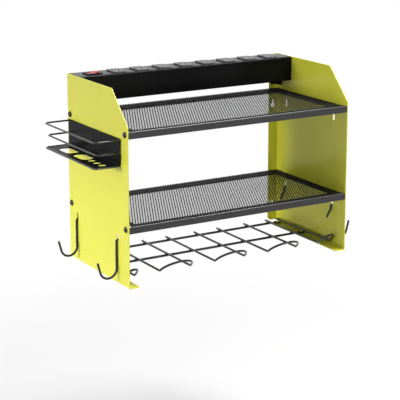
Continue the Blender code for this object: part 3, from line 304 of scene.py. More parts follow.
def make_finish(name, colours, roughness, mottle_scale, relief, settings=None):
    """Principled material whose colour and roughness drift with one soft noise."""
    made = bpy.data.materials.new(name)
    made.use_nodes = True
    tree = made.node_tree
    shader = tree.nodes["Principled BSDF"]
    place = tree.nodes.new("ShaderNodeTexCoord").outputs["Object"]
    drift = add_noise(tree, place, mottle_scale, DRIFT_DETAIL)
    tint = tree.nodes.new("ShaderNodeMix")
    tint.data_type = "RGBA"
    tree.links.new(map_range(tree, drift, BUSY_NOISE, (0, 1)), tint.inputs["Factor"])
    for socket, colour in zip(tint.inputs[MIX_COLOURS], colours):
        socket.default_value = (*colour, 1.0)
    tree.links.new(tint.outputs[MIX_RESULT], shader.inputs["Base Color"])
    tree.links.new(map_range(tree, drift, BUSY_NOISE, roughness), shader.inputs["Roughness"])
    add_relief(tree, shader, place, relief)
    for socket_name, value in (settings or {}).items():
        shader.inputs[socket_name].default_value = value
    finishes[name] = made
    return tree, shader, place


print("noise from %.2f to %.2f takes up the whole span" % BUSY_NOISE)

# %% [markdown]
# ### Powder coats
# The side panels are sheet steel with a glossy lime powder coat. Powder flows
# into a skin with a faint orange-peel swell of a few millimetres, so two layers
# of relief are used, a slow one and a fine one, under a thin clear layer. The
# shelf frames have a satin charcoal powder with a finer and drier grain. The
# crests of their front rails get rubbed smooth in use, so there the clear layer
# is at full strength and draws a thin bright line. The net wears the driest
# coat of all, which keeps its many small strands dark, and the side bin's coat
# is a little blacker and glossier than the frames'.

# %% Powder coats
CREST_DEPTH = 0.0011
CREST_BACK = -0.2203
FRAME_CLEAR = 0.15
CREST_CLEAR = 1.0


def crest_mask(tree, place):
    """1 near the height of a shelf's top and in front of CREST_BACK, else 0."""
    split = tree.nodes.new("ShaderNodeSeparateXYZ")
    tree.links.new(place, split.inputs["Vector"])
    high = [combine(tree, "COMPARE", split.outputs["Z"], top, CREST_DEPTH)
            for top in SHELF_TOPS.values()]
    front = combine(tree, "LESS_THAN", split.outputs["Y"], CREST_BACK)
    return combine(tree, "MULTIPLY", combine(tree, "MAXIMUM", *high), front)


make_finish(
    "lime_powder_coat", ((0.760, 0.750, 0.062), (0.788, 0.778, 0.072)),
    roughness=(0.28, 0.33), mottle_scale=11, relief=[(260, 2, 0.00005), (1100, 2, 0.000012)],
    settings={"Specular IOR Level": 0.22, "Coat Weight": 0.15, "Coat Roughness": 0.12},
)
tree, shader, place = make_finish(
    "charcoal_powder_coat", ((0.014, 0.014, 0.015), (0.021, 0.021, 0.022)),
    roughness=(0.50, 0.62), mottle_scale=22, relief=[(420, 2, 0.00003), (2400, 3, 0.000020)],
    settings={"Specular IOR Level": 0.4, "Coat Roughness": 0.12},
)
clear = map_range(tree, crest_mask(tree, place), (0, 1), (FRAME_CLEAR, CREST_CLEAR))
tree.links.new(clear, shader.inputs["Coat Weight"])
make_finish(
    "net_powder_coat", ((0.012, 0.012, 0.013), (0.018, 0.018, 0.019)),
    roughness=(0.50, 0.64), mottle_scale=90, relief=[(2400, 3, 0.000020)],
    settings={"Specular IOR Level": 0.06},
)
make_finish(
    "bin_powder_coat", ((0.005, 0.005, 0.005), (0.009, 0.009, 0.010)),
    roughness=(0.26, 0.36), mottle_scale=18, relief=[(380, 2, 0.00003), (2000, 2, 0.000010)],
    settings={"Specular IOR Level": 0.05},
)
print("powder coats:", sorted(finishes))

# %% [markdown]
# ### Coated wire, screws and brass
# The wire is dipped or sprayed a glossy black, and the coat gathers in faint
# waves. Screws are blackened steel, dark and partly metallic, and smooth enough
# for a sharp glint on each head. The strip's bars are brass, drawn along X, so
# their noise is stretched that way.

# %% Wire, screw and brass finishes
make_finish(
    "black_coated_wire", ((0.004, 0.004, 0.004), (0.007, 0.007, 0.007)),
    roughness=(0.28, 0.38), mottle_scale=30, relief=[(500, 2, 0.00002), (2000, 2, 0.000004)],
    settings={"Specular IOR Level": 0.12, "Coat Weight": 0.8, "Coat Roughness": 0.12},
)
make_finish(
    "black_screw", ((0.008, 0.008, 0.009), (0.026, 0.026, 0.028)),
    roughness=(0.10, 0.18), mottle_scale=180, relief=[(2600, 3, 0.000004)],
    settings={"Metallic": 0.4, "Specular IOR Level": 0.5},
)
make_finish(
    "brass", ((0.66, 0.44, 0.15), (0.80, 0.56, 0.22)),
    roughness=(0.25, 0.42), mottle_scale=60, relief=[(900, 3, 0.00002, (0.04, 1, 1))],
    settings={"Metallic": 1.0},
)
print("finishes with wire and metals:", len(finishes))

# %% [markdown]
# ### Plastics
# The strip's body is a smooth black moulding with the very slow swell that
# thick mouldings get as they cool. The outlets are a drier grey plastic with a
# fine spark-eroded grain. The rocker is a smooth red plastic that lets some
# light in, so a little subsurface light softens it.

# %% Plastic finishes
make_finish(
    "gloss_black_plastic", ((0.004, 0.004, 0.004), (0.007, 0.007, 0.007)),
    roughness=(0.09, 0.16), mottle_scale=9, relief=[(40, 1, 0.00012), (1500, 2, 0.000003)],
    settings={"Specular IOR Level": 0.05},
)
make_finish(
    "grey_plastic", ((0.085, 0.084, 0.090), (0.110, 0.109, 0.116)),
    roughness=(0.38, 0.50), mottle_scale=40, relief=[(3200, 3, 0.000014)],
)
make_finish(
    "red_plastic", ((0.48, 0.008, 0.007), (0.58, 0.014, 0.011)),
    roughness=(0.16, 0.26), mottle_scale=120, relief=[(700, 2, 0.000010)],
    settings={
        "Specular IOR Level": 0.15, "Coat Weight": 0.15, "Coat Roughness": 0.05,
        "Subsurface Weight": 0.25, "Subsurface Scale": 1.0,
        "Subsurface Radius": (0.004, 0.001, 0.001),
    },
)
print("all finishes:", len(finishes))

# %% [markdown]
# ## Outlines
# Real panels start as flat blanks with every hole already cut, and are folded
# afterwards. The same order works here. An outline has a point at each corner
# and arcs at the round ones, so a few sizes describe it.

# %% Outline helpers
def unit(vectors):
    """Each vector over its length."""
    return vectors / np.linalg.norm(vectors, axis=-1, keepdims=True)


def arc(centre, radius, start, end, steps):
    """Points centre + radius * (cos a, sin a) for a from start to end."""
    angle = np.linspace(start, end, steps + 1)
    return centre + radius * np.column_stack([np.cos(angle), np.sin(angle)])


def round_hole(centre, diameter, steps=32):
    """Full turn without its last point, which would repeat the first."""
    return arc(centre, diameter / 2, 0, 2 * math.pi, steps)[:-1]


def long_hole(centre, width, length, steps=14):
    """Slot with round ends, its long way along the second coordinate."""
    reach = length / 2 - width / 2
    upper = arc((centre[0], centre[1] + reach), width / 2, 0, math.pi, steps)
    lower = arc((centre[0], centre[1] - reach), width / 2, math.pi, 2 * math.pi, steps)
    return np.concatenate([upper, lower])


def corner_arc(before, corner, after, radius, steps):
    """Arc that rounds a corner on a plane or in space; radius 0 leaves the corner.

    Angle t: start + radius * (sin t * way in + (1 - cos t) * inward).
    """
    if not radius:
        return corner[None]
    arrive = unit(corner - before)
    leave = unit(after - corner)
    turn = math.acos(float(np.clip(arrive @ leave, -1, 1)))
    start = corner - arrive * radius * math.tan(turn / 2)
    inward = unit(leave - arrive * (arrive @ leave))
    angle = np.linspace(0, turn, steps + 1)[:, None]
    return start + radius * (np.sin(angle) * arrive + (1 - np.cos(angle)) * inward)


def fillet(corners, steps=8):
    """Closed outline through (u, v, radius) corners, each turned into an arc."""
    radii = [corner[2] for corner in corners]
    places = np.array(corners)[:, :2]
    threes = zip(np.roll(places, 1, axis=0), places, np.roll(places, -1, axis=0))
    return np.concatenate([
        corner_arc(*three, radius, steps) for three, radius in zip(threes, radii)
    ])


print("a square with round corners has", len(fillet([
    (0, 0, 0.1), (1, 0, 0.1), (1, 1, 0.1), (0, 1, 0.1),
])), "points")

# %% [markdown]
# ## Points as arrays
# A mesh hands over all of its points in one call and takes them back in another.
# In between they are one numpy array, so one formula can fold a whole sheet or
# carry it to its place. Mirroring, or swapping two coordinates, turns the faces
# inside out, and the sign of the volume tells when that has happened.

# %% Read and move points
def read_points(mesh):
    """All points of a mesh as (count, 3) doubles."""
    points = np.empty(len(mesh.vertices) * 3, dtype=np.float32)
    mesh.vertices.foreach_get("co", points)
    return points.reshape(-1, 3).astype(np.float64)


def move_points(mesh, points):
    """Write new points, and flip every face if the volume says they look inwards."""
    mesh.vertices.foreach_set("co", points.astype(np.float32).ravel())
    mesh.update()
    body = bmesh.new()
    body.from_mesh(mesh)
    if body.calc_volume(signed=True) < 0:
        bmesh.ops.reverse_faces(body, faces=body.faces)
        body.to_mesh(mesh)
    body.free()


print("points of a panel's solid:", len(read_points(nodes["left_side_panel"].data)))

# %% [markdown]
# ## Sheet cut flat
# A flat filled curve takes the outline and the holes, its extrusion gives the
# sheet's thickness, and its bevel rounds the cut edges under the powder. The
# bevel grows outwards, so the curve is offset inwards by as much, which keeps
# the blank to size. Its big faces are cut along lines where a bend will come.

# %% Cut a sheet
SHEET_EDGE = 0.0003
WELD_DISTANCE = 0.000002
SPLIT_DISTANCE = 0.000001


def split_at(plate, component, places):
    """Cut the faces along lines across one coordinate."""
    direction = np.eye(3)[component]
    for place in places:
        everything = plate.verts[:] + plate.edges[:] + plate.faces[:]
        bmesh.ops.bisect_plane(plate, geom=everything, dist=SPLIT_DISTANCE,
                               plane_co=direction * place, plane_no=direction)


def cut_sheet(outlines, thickness, bends=(), edge=SHEET_EDGE, edge_steps=2):
    """Flat plate and its points. The first outline is its rim, the rest are holes.

    Its middle plane is z = 0, edge is the radius of its rounded rims, and each
    bend is a coordinate with the places of its lines.
    """
    curve = bpy.data.curves.new("blank", "CURVE")
    curve.dimensions = "2D"
    curve.fill_mode = "BOTH"
    curve.extrude = thickness / 2 - edge
    curve.bevel_depth = edge
    curve.bevel_resolution = edge_steps - 1
    curve.offset = -edge
    for outline in outlines:
        spline = curve.splines.new("POLY")
        spline.points.add(len(outline) - 1)
        spline.points.foreach_set("co", np.column_stack(
            [outline, np.zeros(len(outline)), np.ones(len(outline))]
        ).ravel())
        spline.use_cyclic_u = True
    holder = bpy.data.objects.new("blank", curve)
    mesh = bpy.data.meshes.new_from_object(holder)
    bpy.data.objects.remove(holder)
    bpy.data.curves.remove(curve)
    plate = bmesh.new()
    plate.from_mesh(mesh)
    bmesh.ops.remove_doubles(plate, verts=plate.verts, dist=WELD_DISTANCE)
    for component, places in bends:
        split_at(plate, component, places)
    bmesh.ops.recalc_face_normals(plate, faces=plate.faces)
    plate.to_mesh(mesh)
    plate.free()
    return mesh, read_points(mesh)


print("a sheet's cut edges are rounded to %.1f mm" % (SHEET_EDGE * 1000))

# %% [markdown]
# ## The side panels
# Each panel is one blank. Its front edge leans back at the top, four slots take
# the hooks and the bin, and the back flange has a keyhole and a wall hole. A
# fold wraps the flat sheet round a small radius: a point past the bend line
# turns about the bend's centre by its distance over the length that the bend
# uses up, and whatever is left runs on straight.

# %% Fold a sheet
BEND_LENGTH = (BEND_RADIUS + SHEET / 2) * math.pi / 2
BEND_LINES = np.linspace(0, BEND_LENGTH, 9)
OUTER_RADIUS = BEND_RADIUS + SHEET


def fold(points, component, line, outward):
    """Turn what lies past the line inwards by a quarter turn, away from X = -HALF_WIDTH."""
    beyond = (points[:, component] - line) * outward
    angle = np.clip(beyond / BEND_LENGTH, 0, 1) * math.pi / 2
    spoke = OUTER_RADIUS - (points[:, 0] + HALF_WIDTH)
    straight = np.maximum(beyond - BEND_LENGTH, 0)
    folded = points.copy()
    folded[:, component] = line + outward * spoke * np.sin(angle)
    folded[:, 0] = -HALF_WIDTH + OUTER_RADIUS - spoke * np.cos(angle) + straight
    return np.where((beyond > 0)[:, None], folded, points)


def on_blank(distance):
    """How far past the bend line a flange point lies while the sheet is flat."""
    return distance - OUTER_RADIUS + BEND_LENGTH


print("a bend uses up %.2f mm of the blank" % (BEND_LENGTH * 1000))

# %% [markdown]
# The blank's outline needs only its corners, each with the radius of its arc.
# The corner between the two flanges is cut away, so that they can be folded
# without meeting.

# %% Outline of a panel
SLOPE_DROP = 0.057
SLOPE_SETBACK = 0.055
SLOPE_FILLET = 0.004
FRONT_FILLET = 0.0015
CORNER_RELIEF = 0.005
FLANGE_FILLET = 0.0008
RELIEF_FILLET = 0.0006


def panel_rim():
    """The blank's outline as (depth, height, fillet) corners."""
    low = OUTER_RADIUS - on_blank(FLANGE)
    back_line = -OUTER_RADIUS
    back = back_line + on_blank(FLANGE)
    return fillet([
        (-DEPTH, low, FRONT_FILLET),
        (-DEPTH, HEIGHT - SLOPE_DROP, SLOPE_FILLET),
        (-DEPTH + SLOPE_SETBACK, HEIGHT, SLOPE_FILLET),
        (back_line, HEIGHT, 0),
        (back - CORNER_RELIEF, HEIGHT, FLANGE_FILLET),
        (back, HEIGHT - CORNER_RELIEF, FLANGE_FILLET),
        (back, 2 * CORNER_RELIEF, FLANGE_FILLET),
        (back - CORNER_RELIEF, CORNER_RELIEF, FLANGE_FILLET),
        (back_line, CORNER_RELIEF, 0),
        (-CORNER_RELIEF, CORNER_RELIEF, RELIEF_FILLET),
        (-CORNER_RELIEF, OUTER_RADIUS, 0),
        (-CORNER_RELIEF, low + CORNER_RELIEF, FLANGE_FILLET),
        (-2 * CORNER_RELIEF, low, FLANGE_FILLET),
    ])


print("points of a panel's outline:", len(panel_rim()))

# %% [markdown]
# Every hole is a circle, a slot or a keyhole, by which the organizer hangs on
# the head of a screw. The bottom flange is folded first and the back one after
# it, and the right panel is the left one mirrored.

# %% Build the panels
SLOT_WIDTH = 0.005
SLOT_LENGTH = 0.015
SHELF_HOLE = 0.0056
SMALL_HOLE = 0.0044
WALL_HOLE = 0.0065
WALL_HOLE_HEIGHT = 0.040
KEYHOLE_HEIGHT = 0.231


def keyhole(middle, height, head=0.009, neck=0.0045, rise=0.008):
    """Round opening for a screw head with a narrow neck rising from it."""
    opening = math.asin(neck / head)
    start, end = math.pi / 2 + opening, 5 * math.pi / 2 - opening
    around = arc((middle, height), head / 2, start, end, steps=28)
    top = arc((middle, height + rise), neck / 2, 0, math.pi, steps=12)
    return np.concatenate([around, top])


def panel_holes():
    """Slots, shelf holes, wall holes, strip hole and rod holes on the blank."""
    holes = []
    for depth in SLOT_DEPTHS.values():
        for seat in (HOOK_SEAT, BIN_SEAT):
            holes.append(long_hole((depth, seat + SLOT_LENGTH / 2), SLOT_WIDTH, SLOT_LENGTH))
    for depth in SCREW_DEPTHS.values():
        for top in SHELF_TOPS.values():
            holes.append(round_hole((depth, top - SCREW_DROP), SHELF_HOLE))
    flange_middle = -OUTER_RADIUS + on_blank(FLANGE / 2 + SHEET / 2)
    holes.append(round_hole((flange_middle, WALL_HOLE_HEIGHT), WALL_HOLE))
    holes.append(keyhole(flange_middle, KEYHOLE_HEIGHT))
    ear = -OUTER_RADIUS + on_blank(HALF_WIDTH - EAR_SCREW_SIDE)
    holes.append(round_hole((ear, EAR_SCREW_HEIGHT), SMALL_HOLE))
    rod_line = OUTER_RADIUS - on_blank(HALF_WIDTH - ROD_SCREW_SIDE)
    for depth in ROD_DEPTHS.values():
        holes.append(round_hole((depth, rod_line), SMALL_HOLE))
    return holes


for side_name, side in SIDES:
    mesh, flat = cut_sheet([panel_rim()] + panel_holes(), SHEET,
                           [(1, OUTER_RADIUS - BEND_LINES), (0, -OUTER_RADIUS + BEND_LINES)])
    upright = np.column_stack([flat[:, 2] - HALF_WIDTH + SHEET / 2, flat[:, :2]])
    folded = fold(fold(upright, 2, OUTER_RADIUS, -1), 1, -OUTER_RADIUS, 1)
    move_points(mesh, folded * [-side, 1, 1])
    settle(side_name + "_panel", mesh, "organizer", "lime_powder_coat",
           side_name + "_side_panel")
print("panel faces:", counts["left_panel"])

# %% [markdown]
# ## Softened solids
# Pieces that are already plain shapes only need their edges broken. A copy of
# the solid is merged and its flat faces are joined up, and then the Bevel
# modifier rounds every sharp edge by a fraction of a millimetre, so that each
# edge catches a thin line of light, as painted steel and mouldings do.

# %% Soften solids
MERGE_DISTANCE = 0.000001
FLAT_ANGLE = math.radians(0.5)


def as_mesh(shape):
    """Make the bmesh a mesh and let go of it."""
    mesh = bpy.data.meshes.new("shape")
    shape.to_mesh(mesh)
    shape.free()
    return mesh


def soften(name, node, slot, width, segments=2):
    """Bevelled copy of one solid that stands for it."""
    copy = bmesh.new()
    copy.from_mesh(nodes[node].data)
    bmesh.ops.remove_doubles(copy, verts=copy.verts, dist=MERGE_DISTANCE)
    bmesh.ops.dissolve_limit(copy, angle_limit=FLAT_ANGLE, verts=copy.verts, edges=copy.edges)
    piece = settle(name, as_mesh(copy), "organizer", slot, node, weighted=False)
    edge = piece.modifiers.new("soft_edges", "BEVEL")
    edge.width = width
    edge.segments = segments
    edge.limit_method = "ANGLE"
    edge.angle_limit = CREASE
    edge.use_clamp_overlap = True
    even_light(piece)


for level_name in SHELF_TOPS:
    soften(level_name + "_frame", level_name + "_shelf_frame", "charcoal_powder_coat",
           width=0.00025)
soften("strip_lid", "strip_cover", "gloss_black_plastic", width=0.00045, segments=3)
soften("strip_tray", "strip_base", "gloss_black_plastic", width=0.0003)
for side_name, _ in SIDES:
    soften(side_name + "_cap", side_name + "_end_cap", "gloss_black_plastic", width=0.0004)
soften("switch_frame", "switch_bezel", "gloss_black_plastic", width=0.00035)
print("softened so far:", len(counts))

# %% [markdown]
# ## The expanded metal
# Expanded metal is sheet that is slit and pulled apart, so that its strands meet
# in a net of diamonds, here with their long way front to back. The pull also
# leans every strand a little the same way, like the slats of a blind, so such a
# shelf looks more open from one side than from the other. A flat pattern of
# holes would miss that, so each strand is a small leaning bar here. All of them
# are worked out at once: they join the points of a diamond lattice, and they
# are trimmed where they cross the rim.

# %% Lay out the strands
CELL_WIDTH = 0.0050
CELL_LENGTH = 0.0100
SHORTEST_STRAND_SHARE = 0.12
NET_SIDE = 0.2167
NET_FRONT = -0.2201
NET_BACK = -0.0033
NOTCH_SIDE = 0.2079
NOTCH_FRONT = -0.2035
NOTCH_BACK = -0.0213


def lattice_strands():
    """Ends of the strands of a diamond net, as two arrays of (x, y) points.

    Lattice point (i, j) with i + j even lies at i half cell widths and j half
    cell lengths. Each sends one strand up to the right and one up to the left.
    """
    half_cell = np.array([CELL_WIDTH / 2, CELL_LENGTH / 2])
    columns = int(NET_SIDE / half_cell[0]) + 2
    rows = int((NET_BACK - NET_FRONT) / half_cell[1]) + 2
    i, j = np.meshgrid(np.arange(-columns, columns + 1), np.arange(-1, rows + 1), indexing="ij")
    even = (i + j) % 2 == 0
    start = np.stack([i[even], j[even]], axis=1) * half_cell + [0, NET_FRONT]
    steps = half_cell * [[1, 1], [-1, 1]]
    starts = np.concatenate([start, start])
    return starts, starts + np.repeat(steps, len(start), axis=0)


def trimmed(starts, ends, low, high):
    """Keep the share of each strand inside the rectangle, and none in a notch.

    The notches at the corners leave room for the frame's end tabs.
    """
    run = ends - starts
    to_low = (low - starts) / run
    to_high = (high - starts) / run
    enter = np.maximum(np.minimum(to_low, to_high).max(axis=1), 0)
    leave = np.minimum(np.maximum(to_low, to_high).min(axis=1), 1)
    middle = starts + run * ((enter + leave) / 2)[:, None]
    near_end = (middle[:, 1] < NOTCH_FRONT) | (middle[:, 1] > NOTCH_BACK)
    notch = (np.abs(middle[:, 0]) > NOTCH_SIDE) & near_end
    keep = (leave - enter > SHORTEST_STRAND_SHARE) & ~notch
    first = starts + run * enter[:, None]
    last = starts + run * leave[:, None]
    return first[keep], last[keep]


low, high = (-NET_SIDE, NET_FRONT), (NET_SIDE, NET_BACK)
first, last = trimmed(*lattice_strands(), low, high)
print("strands in a shelf:", len(first))

# %% [markdown]
# A strand is a flat bar with eight corners. It is turned a little about its long
# axis, and it reaches a little past both ends, so that the bars which meet at a
# knot leave no gap. Both shelves have the same net, each at its own height.

# %% Build the shelf nets
STRAND_WIDTH = 0.0016
STRAND_THICKNESS = 0.00034
STRAND_LEAN = math.radians(7)
STRAND_OVERLAP_SHARE = 0.3
NET_DROP = 0.0013
BAR_SIDES = ((-1, -1), (1, -1), (1, 1), (-1, 1))
BAR_QUADS = np.array([
    [0, 3, 2, 1], [4, 5, 6, 7], [0, 1, 5, 4], [1, 2, 6, 5], [2, 3, 7, 6], [3, 0, 4, 7],
])


def strand_bars(first, last, height):
    """Closed leaning bars: corner = end + across * half width + over * half thickness."""
    along = unit(last - first)
    flat_side = np.stack([-along[:, 1], along[:, 0], np.zeros(len(along))], axis=1)
    up = np.array([0.0, 0.0, 1.0])
    across = flat_side * math.cos(STRAND_LEAN) + up * math.sin(STRAND_LEAN)
    over = up * math.cos(STRAND_LEAN) - flat_side * math.sin(STRAND_LEAN)
    overlap = np.column_stack([along, np.zeros(len(along))]) * STRAND_WIDTH * STRAND_OVERLAP_SHARE
    lift = np.full((len(first), 1), height)
    near = np.column_stack([first, lift]) - overlap
    far = np.column_stack([last, lift]) + overlap
    wide = across * STRAND_WIDTH / 2
    thick = over * STRAND_THICKNESS / 2
    corners = [end + a * wide + b * thick for end in (near, far) for a, b in BAR_SIDES]
    points = np.stack(corners, axis=1)
    quads = (np.arange(len(points))[:, None, None] * len(corners) + BAR_QUADS).reshape(-1, 4)
    return points.reshape(-1, 3), quads


for level_name, top in SHELF_TOPS.items():
    points, quads = strand_bars(first, last, top - NET_DROP)
    points[:, :2] = np.clip(points[:, :2], low, high)
    mesh = mesh_from([(points, quads, NO_TRIANGLES)])
    settle(level_name + "_net", mesh, "organizer", "charcoal_powder_coat",
           level_name + "_shelf_mesh", weighted=False, finish="net_powder_coat")
print("net faces:", counts["upper_net"])

# %% [markdown]
# ## Bent wire
# A wire is a circle carried along a path. At each point of the path the circle
# needs two directions across the wire. Every path here lies on a known surface,
# flat or folded, so that surface's normal is one of them, and the other stands
# square to it and to the path. The cut ends are rounded off, as they are under
# a dip coat.

# %% Wire helpers
WIRE_SIDES = 20
END_STEPS = 4
END_TILT = math.radians(12)


def wire(path, normal, diameter):
    """Closed wire: ring = centre + radius * (cos a * across + sin a * upward).

    At both ends the rings follow a quarter circle down to a small flat.
    """
    radius = diameter / 2
    path = np.array(path, dtype=float)
    along = unit(np.gradient(path, axis=0))
    dome = np.linspace(END_TILT, math.pi / 2, END_STEPS + 1)[:-1]
    shift = (radius * (1 - np.cos(dome)))[:, None]
    start = path[0] + along[0] * shift
    end = (path[-1] - along[-1] * shift)[::-1]
    path[0] += along[0] * radius
    path[-1] -= along[-1] * radius
    centres = np.concatenate([start, path, end])
    cap = radius * np.sin(dome)
    radii = np.concatenate([cap, np.full(len(path), radius), cap[::-1]])
    pad = ((END_STEPS, END_STEPS), (0, 0))
    along = np.pad(along, pad, mode="edge")
    normal = np.pad(np.broadcast_to(normal, path.shape), pad, mode="edge")
    across = unit(np.cross(along, normal))
    upward = np.cross(across, along)
    angle = np.linspace(0, 2 * math.pi, WIRE_SIDES, endpoint=False)
    ring = (np.cos(angle)[None, :, None] * across[:, None, :]
            + np.sin(angle)[None, :, None] * upward[:, None, :])
    return close_rings(centres[:, None, :] + radii[:, None, None] * ring)


def rounded_path(corners, radius, steps=10):
    """Open path in space, its inner corners turned into arcs of one radius."""
    corners = np.array(corners)
    threes = zip(corners, corners[1:], corners[2:])
    arcs = [corner_arc(*three, radius, steps) for three in threes]
    return np.concatenate([corners[:1], *arcs, corners[-1:]])


def place_wire(name, shapes, replaced=None, body="organizer"):
    """Closed shapes that wear the black coat, settled as one piece."""
    settle(name, mesh_from(shapes), body, "black_coated_wire", replaced)


print("a wire's section has", WIRE_SIDES, "sides")

# %% [markdown]
# ## The hanger loops
# Whatever hangs here rests on two loops at once, and their raised round lips
# keep it from sliding off. Each loop is one wire: back to front, up over a
# crease, round the lip and back again. The lip is half an ellipse drawn on a
# plane that leans up by 38 degrees, and the path's normal leans with it.

# %% Build the hanger loops
LOOP_WIRE = 0.0040
LOOP_HEIGHT = 0.0086
LOOP_BACK = -0.009
LOOP_CREASE = -0.183
LIP_ANGLE = math.radians(38)
LIP_RUN = 0.002
LIP_LENGTH = 0.028
LIP_STEPS = 48
CREASE_RADIUS = 0.005
LOOP_PITCH = 0.110
LOOP_WIDTH = 0.05995
EDGE_LOOP = (0.2015, 0.025)
LOOPS = [(-EDGE_LOOP[0], EDGE_LOOP[1])]
LOOPS += [(step * LOOP_PITCH, LOOP_WIDTH) for step in (-1, 0, 1)]
LOOPS += [EDGE_LOOP]


def loop_path(middle, width):
    """Centre line and normals of one loop.

    Lip point at angle t: x = middle - half * cos t, and it lies LIP_RUN +
    LIP_LENGTH * sin t beyond the crease, forwards and up.
    """
    forward, upward = -math.cos(LIP_ANGLE), math.sin(LIP_ANGLE)
    left = rounded_path([
        (middle - width / 2, LOOP_BACK, LOOP_HEIGHT),
        (middle - width / 2, LOOP_CREASE, LOOP_HEIGHT),
        (middle - width / 2, LOOP_CREASE + forward * LIP_RUN, LOOP_HEIGHT + upward * LIP_RUN),
    ], CREASE_RADIUS)
    turn = np.linspace(0, math.pi, LIP_STEPS + 1)[1:-1]
    reach = LIP_RUN + LIP_LENGTH * np.sin(turn)
    lip = np.column_stack([
        middle - width / 2 * np.cos(turn),
        LOOP_CREASE + forward * reach,
        LOOP_HEIGHT + upward * reach,
    ])
    right = left[::-1] * [-1, 1, 1] + [2 * middle, 0, 0]
    path = np.concatenate([left, lip, right])
    lean = np.clip((path[:, 2] - LOOP_HEIGHT) / (upward * LIP_RUN), 0, 1) * LIP_ANGLE
    return path, np.column_stack([np.zeros(len(path)), np.sin(lean), np.cos(lean)])


for number, (middle, width) in enumerate(LOOPS, 1):
    place_wire("hanger_wire_%d" % number, [wire(*loop_path(middle, width), LOOP_WIRE)],
               "hanger_loop_%d" % number)
print("hanger loop faces:", counts["hanger_wire_3"])

# %% [markdown]
# ## The cross rods and their welds
# The loops lie on two rods whose ends are hammered flat and screwed to the
# bottom flanges. One grid makes a rod: its section is a superellipse, round in
# the middle, and towards the ends it gets wider, lower and squarer. Where a
# wire crosses a rod a small bead of weld joins them.

# %% Build the rods and welds
ROD = 0.0045
ROD_LOW = 0.0018
ROD_SIDES = 32
ROUND_END = 0.196
SHOULDER = 0.1965
PADDLE_START = 0.2003
PADDLE_FLAT = 0.202
PADDLE_END = 0.2172
PADDLE_THICKNESS = 0.0021
PADDLE_WIDTH = 0.0076
PADDLE_EDGE = 0.0006
TIP_SHARE = 0.88
RACK_WELD = (0.0024, 0.0024, 0.0010)
WELD_MARGIN = 0.004
POLE_TILT = 0.15


def rod_rings(depth):
    """Rings along X: y = a * c, z = low + b * (1 + s), with squared-off c and s.

    c and s are cosine and sine raised to 2 / n, n running from 2, a circle, to
    6, nearly a rectangle, as the rod turns into its paddle.
    """
    half = np.concatenate([
        np.linspace(0, ROUND_END, 40), np.linspace(SHOULDER, PADDLE_START, 10),
        np.linspace(PADDLE_FLAT, PADDLE_END - PADDLE_EDGE, 8), [PADDLE_END],
    ])
    x = np.concatenate([-half[:0:-1], half])
    flat = np.clip((np.abs(x) - SHOULDER) / (PADDLE_START - SHOULDER), 0, 1)
    flat = flat * flat * (3 - 2 * flat)
    tip = np.where(np.abs(x) >= PADDLE_END, TIP_SHARE, 1.0)
    wide = (ROD + (PADDLE_WIDTH - ROD) * flat) / 2 * tip
    tall = (ROD + (PADDLE_THICKNESS - ROD) * flat) / 2
    power = 2 / (2 + 4 * flat)
    angle = np.linspace(0, 2 * math.pi, ROD_SIDES, endpoint=False)
    c = np.sign(np.cos(angle)) * np.abs(np.cos(angle)) ** power[:, None]
    s = np.sign(np.sin(angle)) * np.abs(np.sin(angle)) ** power[:, None]
    y = depth + wide[:, None] * c
    z = ROD_LOW + tall[:, None] * (1 + s * tip[:, None])
    return np.stack([np.broadcast_to(x[:, None], y.shape), y, z], axis=-1)


def bead(centre, radii, around=14, rows=8):
    """Ellipsoid: centre + radii * (sin p cos a, sin p sin a, cos p)."""
    tilt = np.linspace(POLE_TILT, math.pi - POLE_TILT, rows)
    return close_rings(centre + radii * turned(zip(np.sin(tilt), np.cos(tilt)), around))


for rod_name, depth in ROD_DEPTHS.items():
    place_wire(rod_name + "_rod", [close_rings(rod_rings(depth))], rod_name + "_cross_rod")

legs = [middle + side * width / 2 for middle, width in LOOPS for _, side in SIDES]
weld_height = ROD_LOW + ROD + GAP / 2
beads = [bead((leg, depth, weld_height), RACK_WELD)
         for leg in legs for depth in ROD_DEPTHS.values()
         if abs(leg) < PADDLE_START - WELD_MARGIN]
place_wire("rack_welds", beads)
print("welds under the loops:", len(beads))

# %% [markdown]
# ## The side hooks
# A hook is one wire that hangs over the bottom edge of a slot: a tail inside, an
# arch over the edge, a long leg down the outside and a wide turned-up bend. It
# lifts off, so each hook rides on a body of its own. Its path lies in one
# upright plane across the panel, so its normal is Y all along.

# %% Build the side hooks
HOOK_WIRE = 0.0040
HOOK_LINE = HALF_WIDTH - SHEET / 2
ARCH = SHEET / 2 + GAP + HOOK_WIRE / 2
TAIL_DROP = 0.004
TAIL_LENGTH = 0.018
TAIL_LEAN = math.radians(28)
TAIL_RADIUS = 0.006
BEND_HEIGHT = 0.0265
BEND_TURN = 0.0155
SWEEP = math.radians(165)
TIP_LENGTH = 0.019


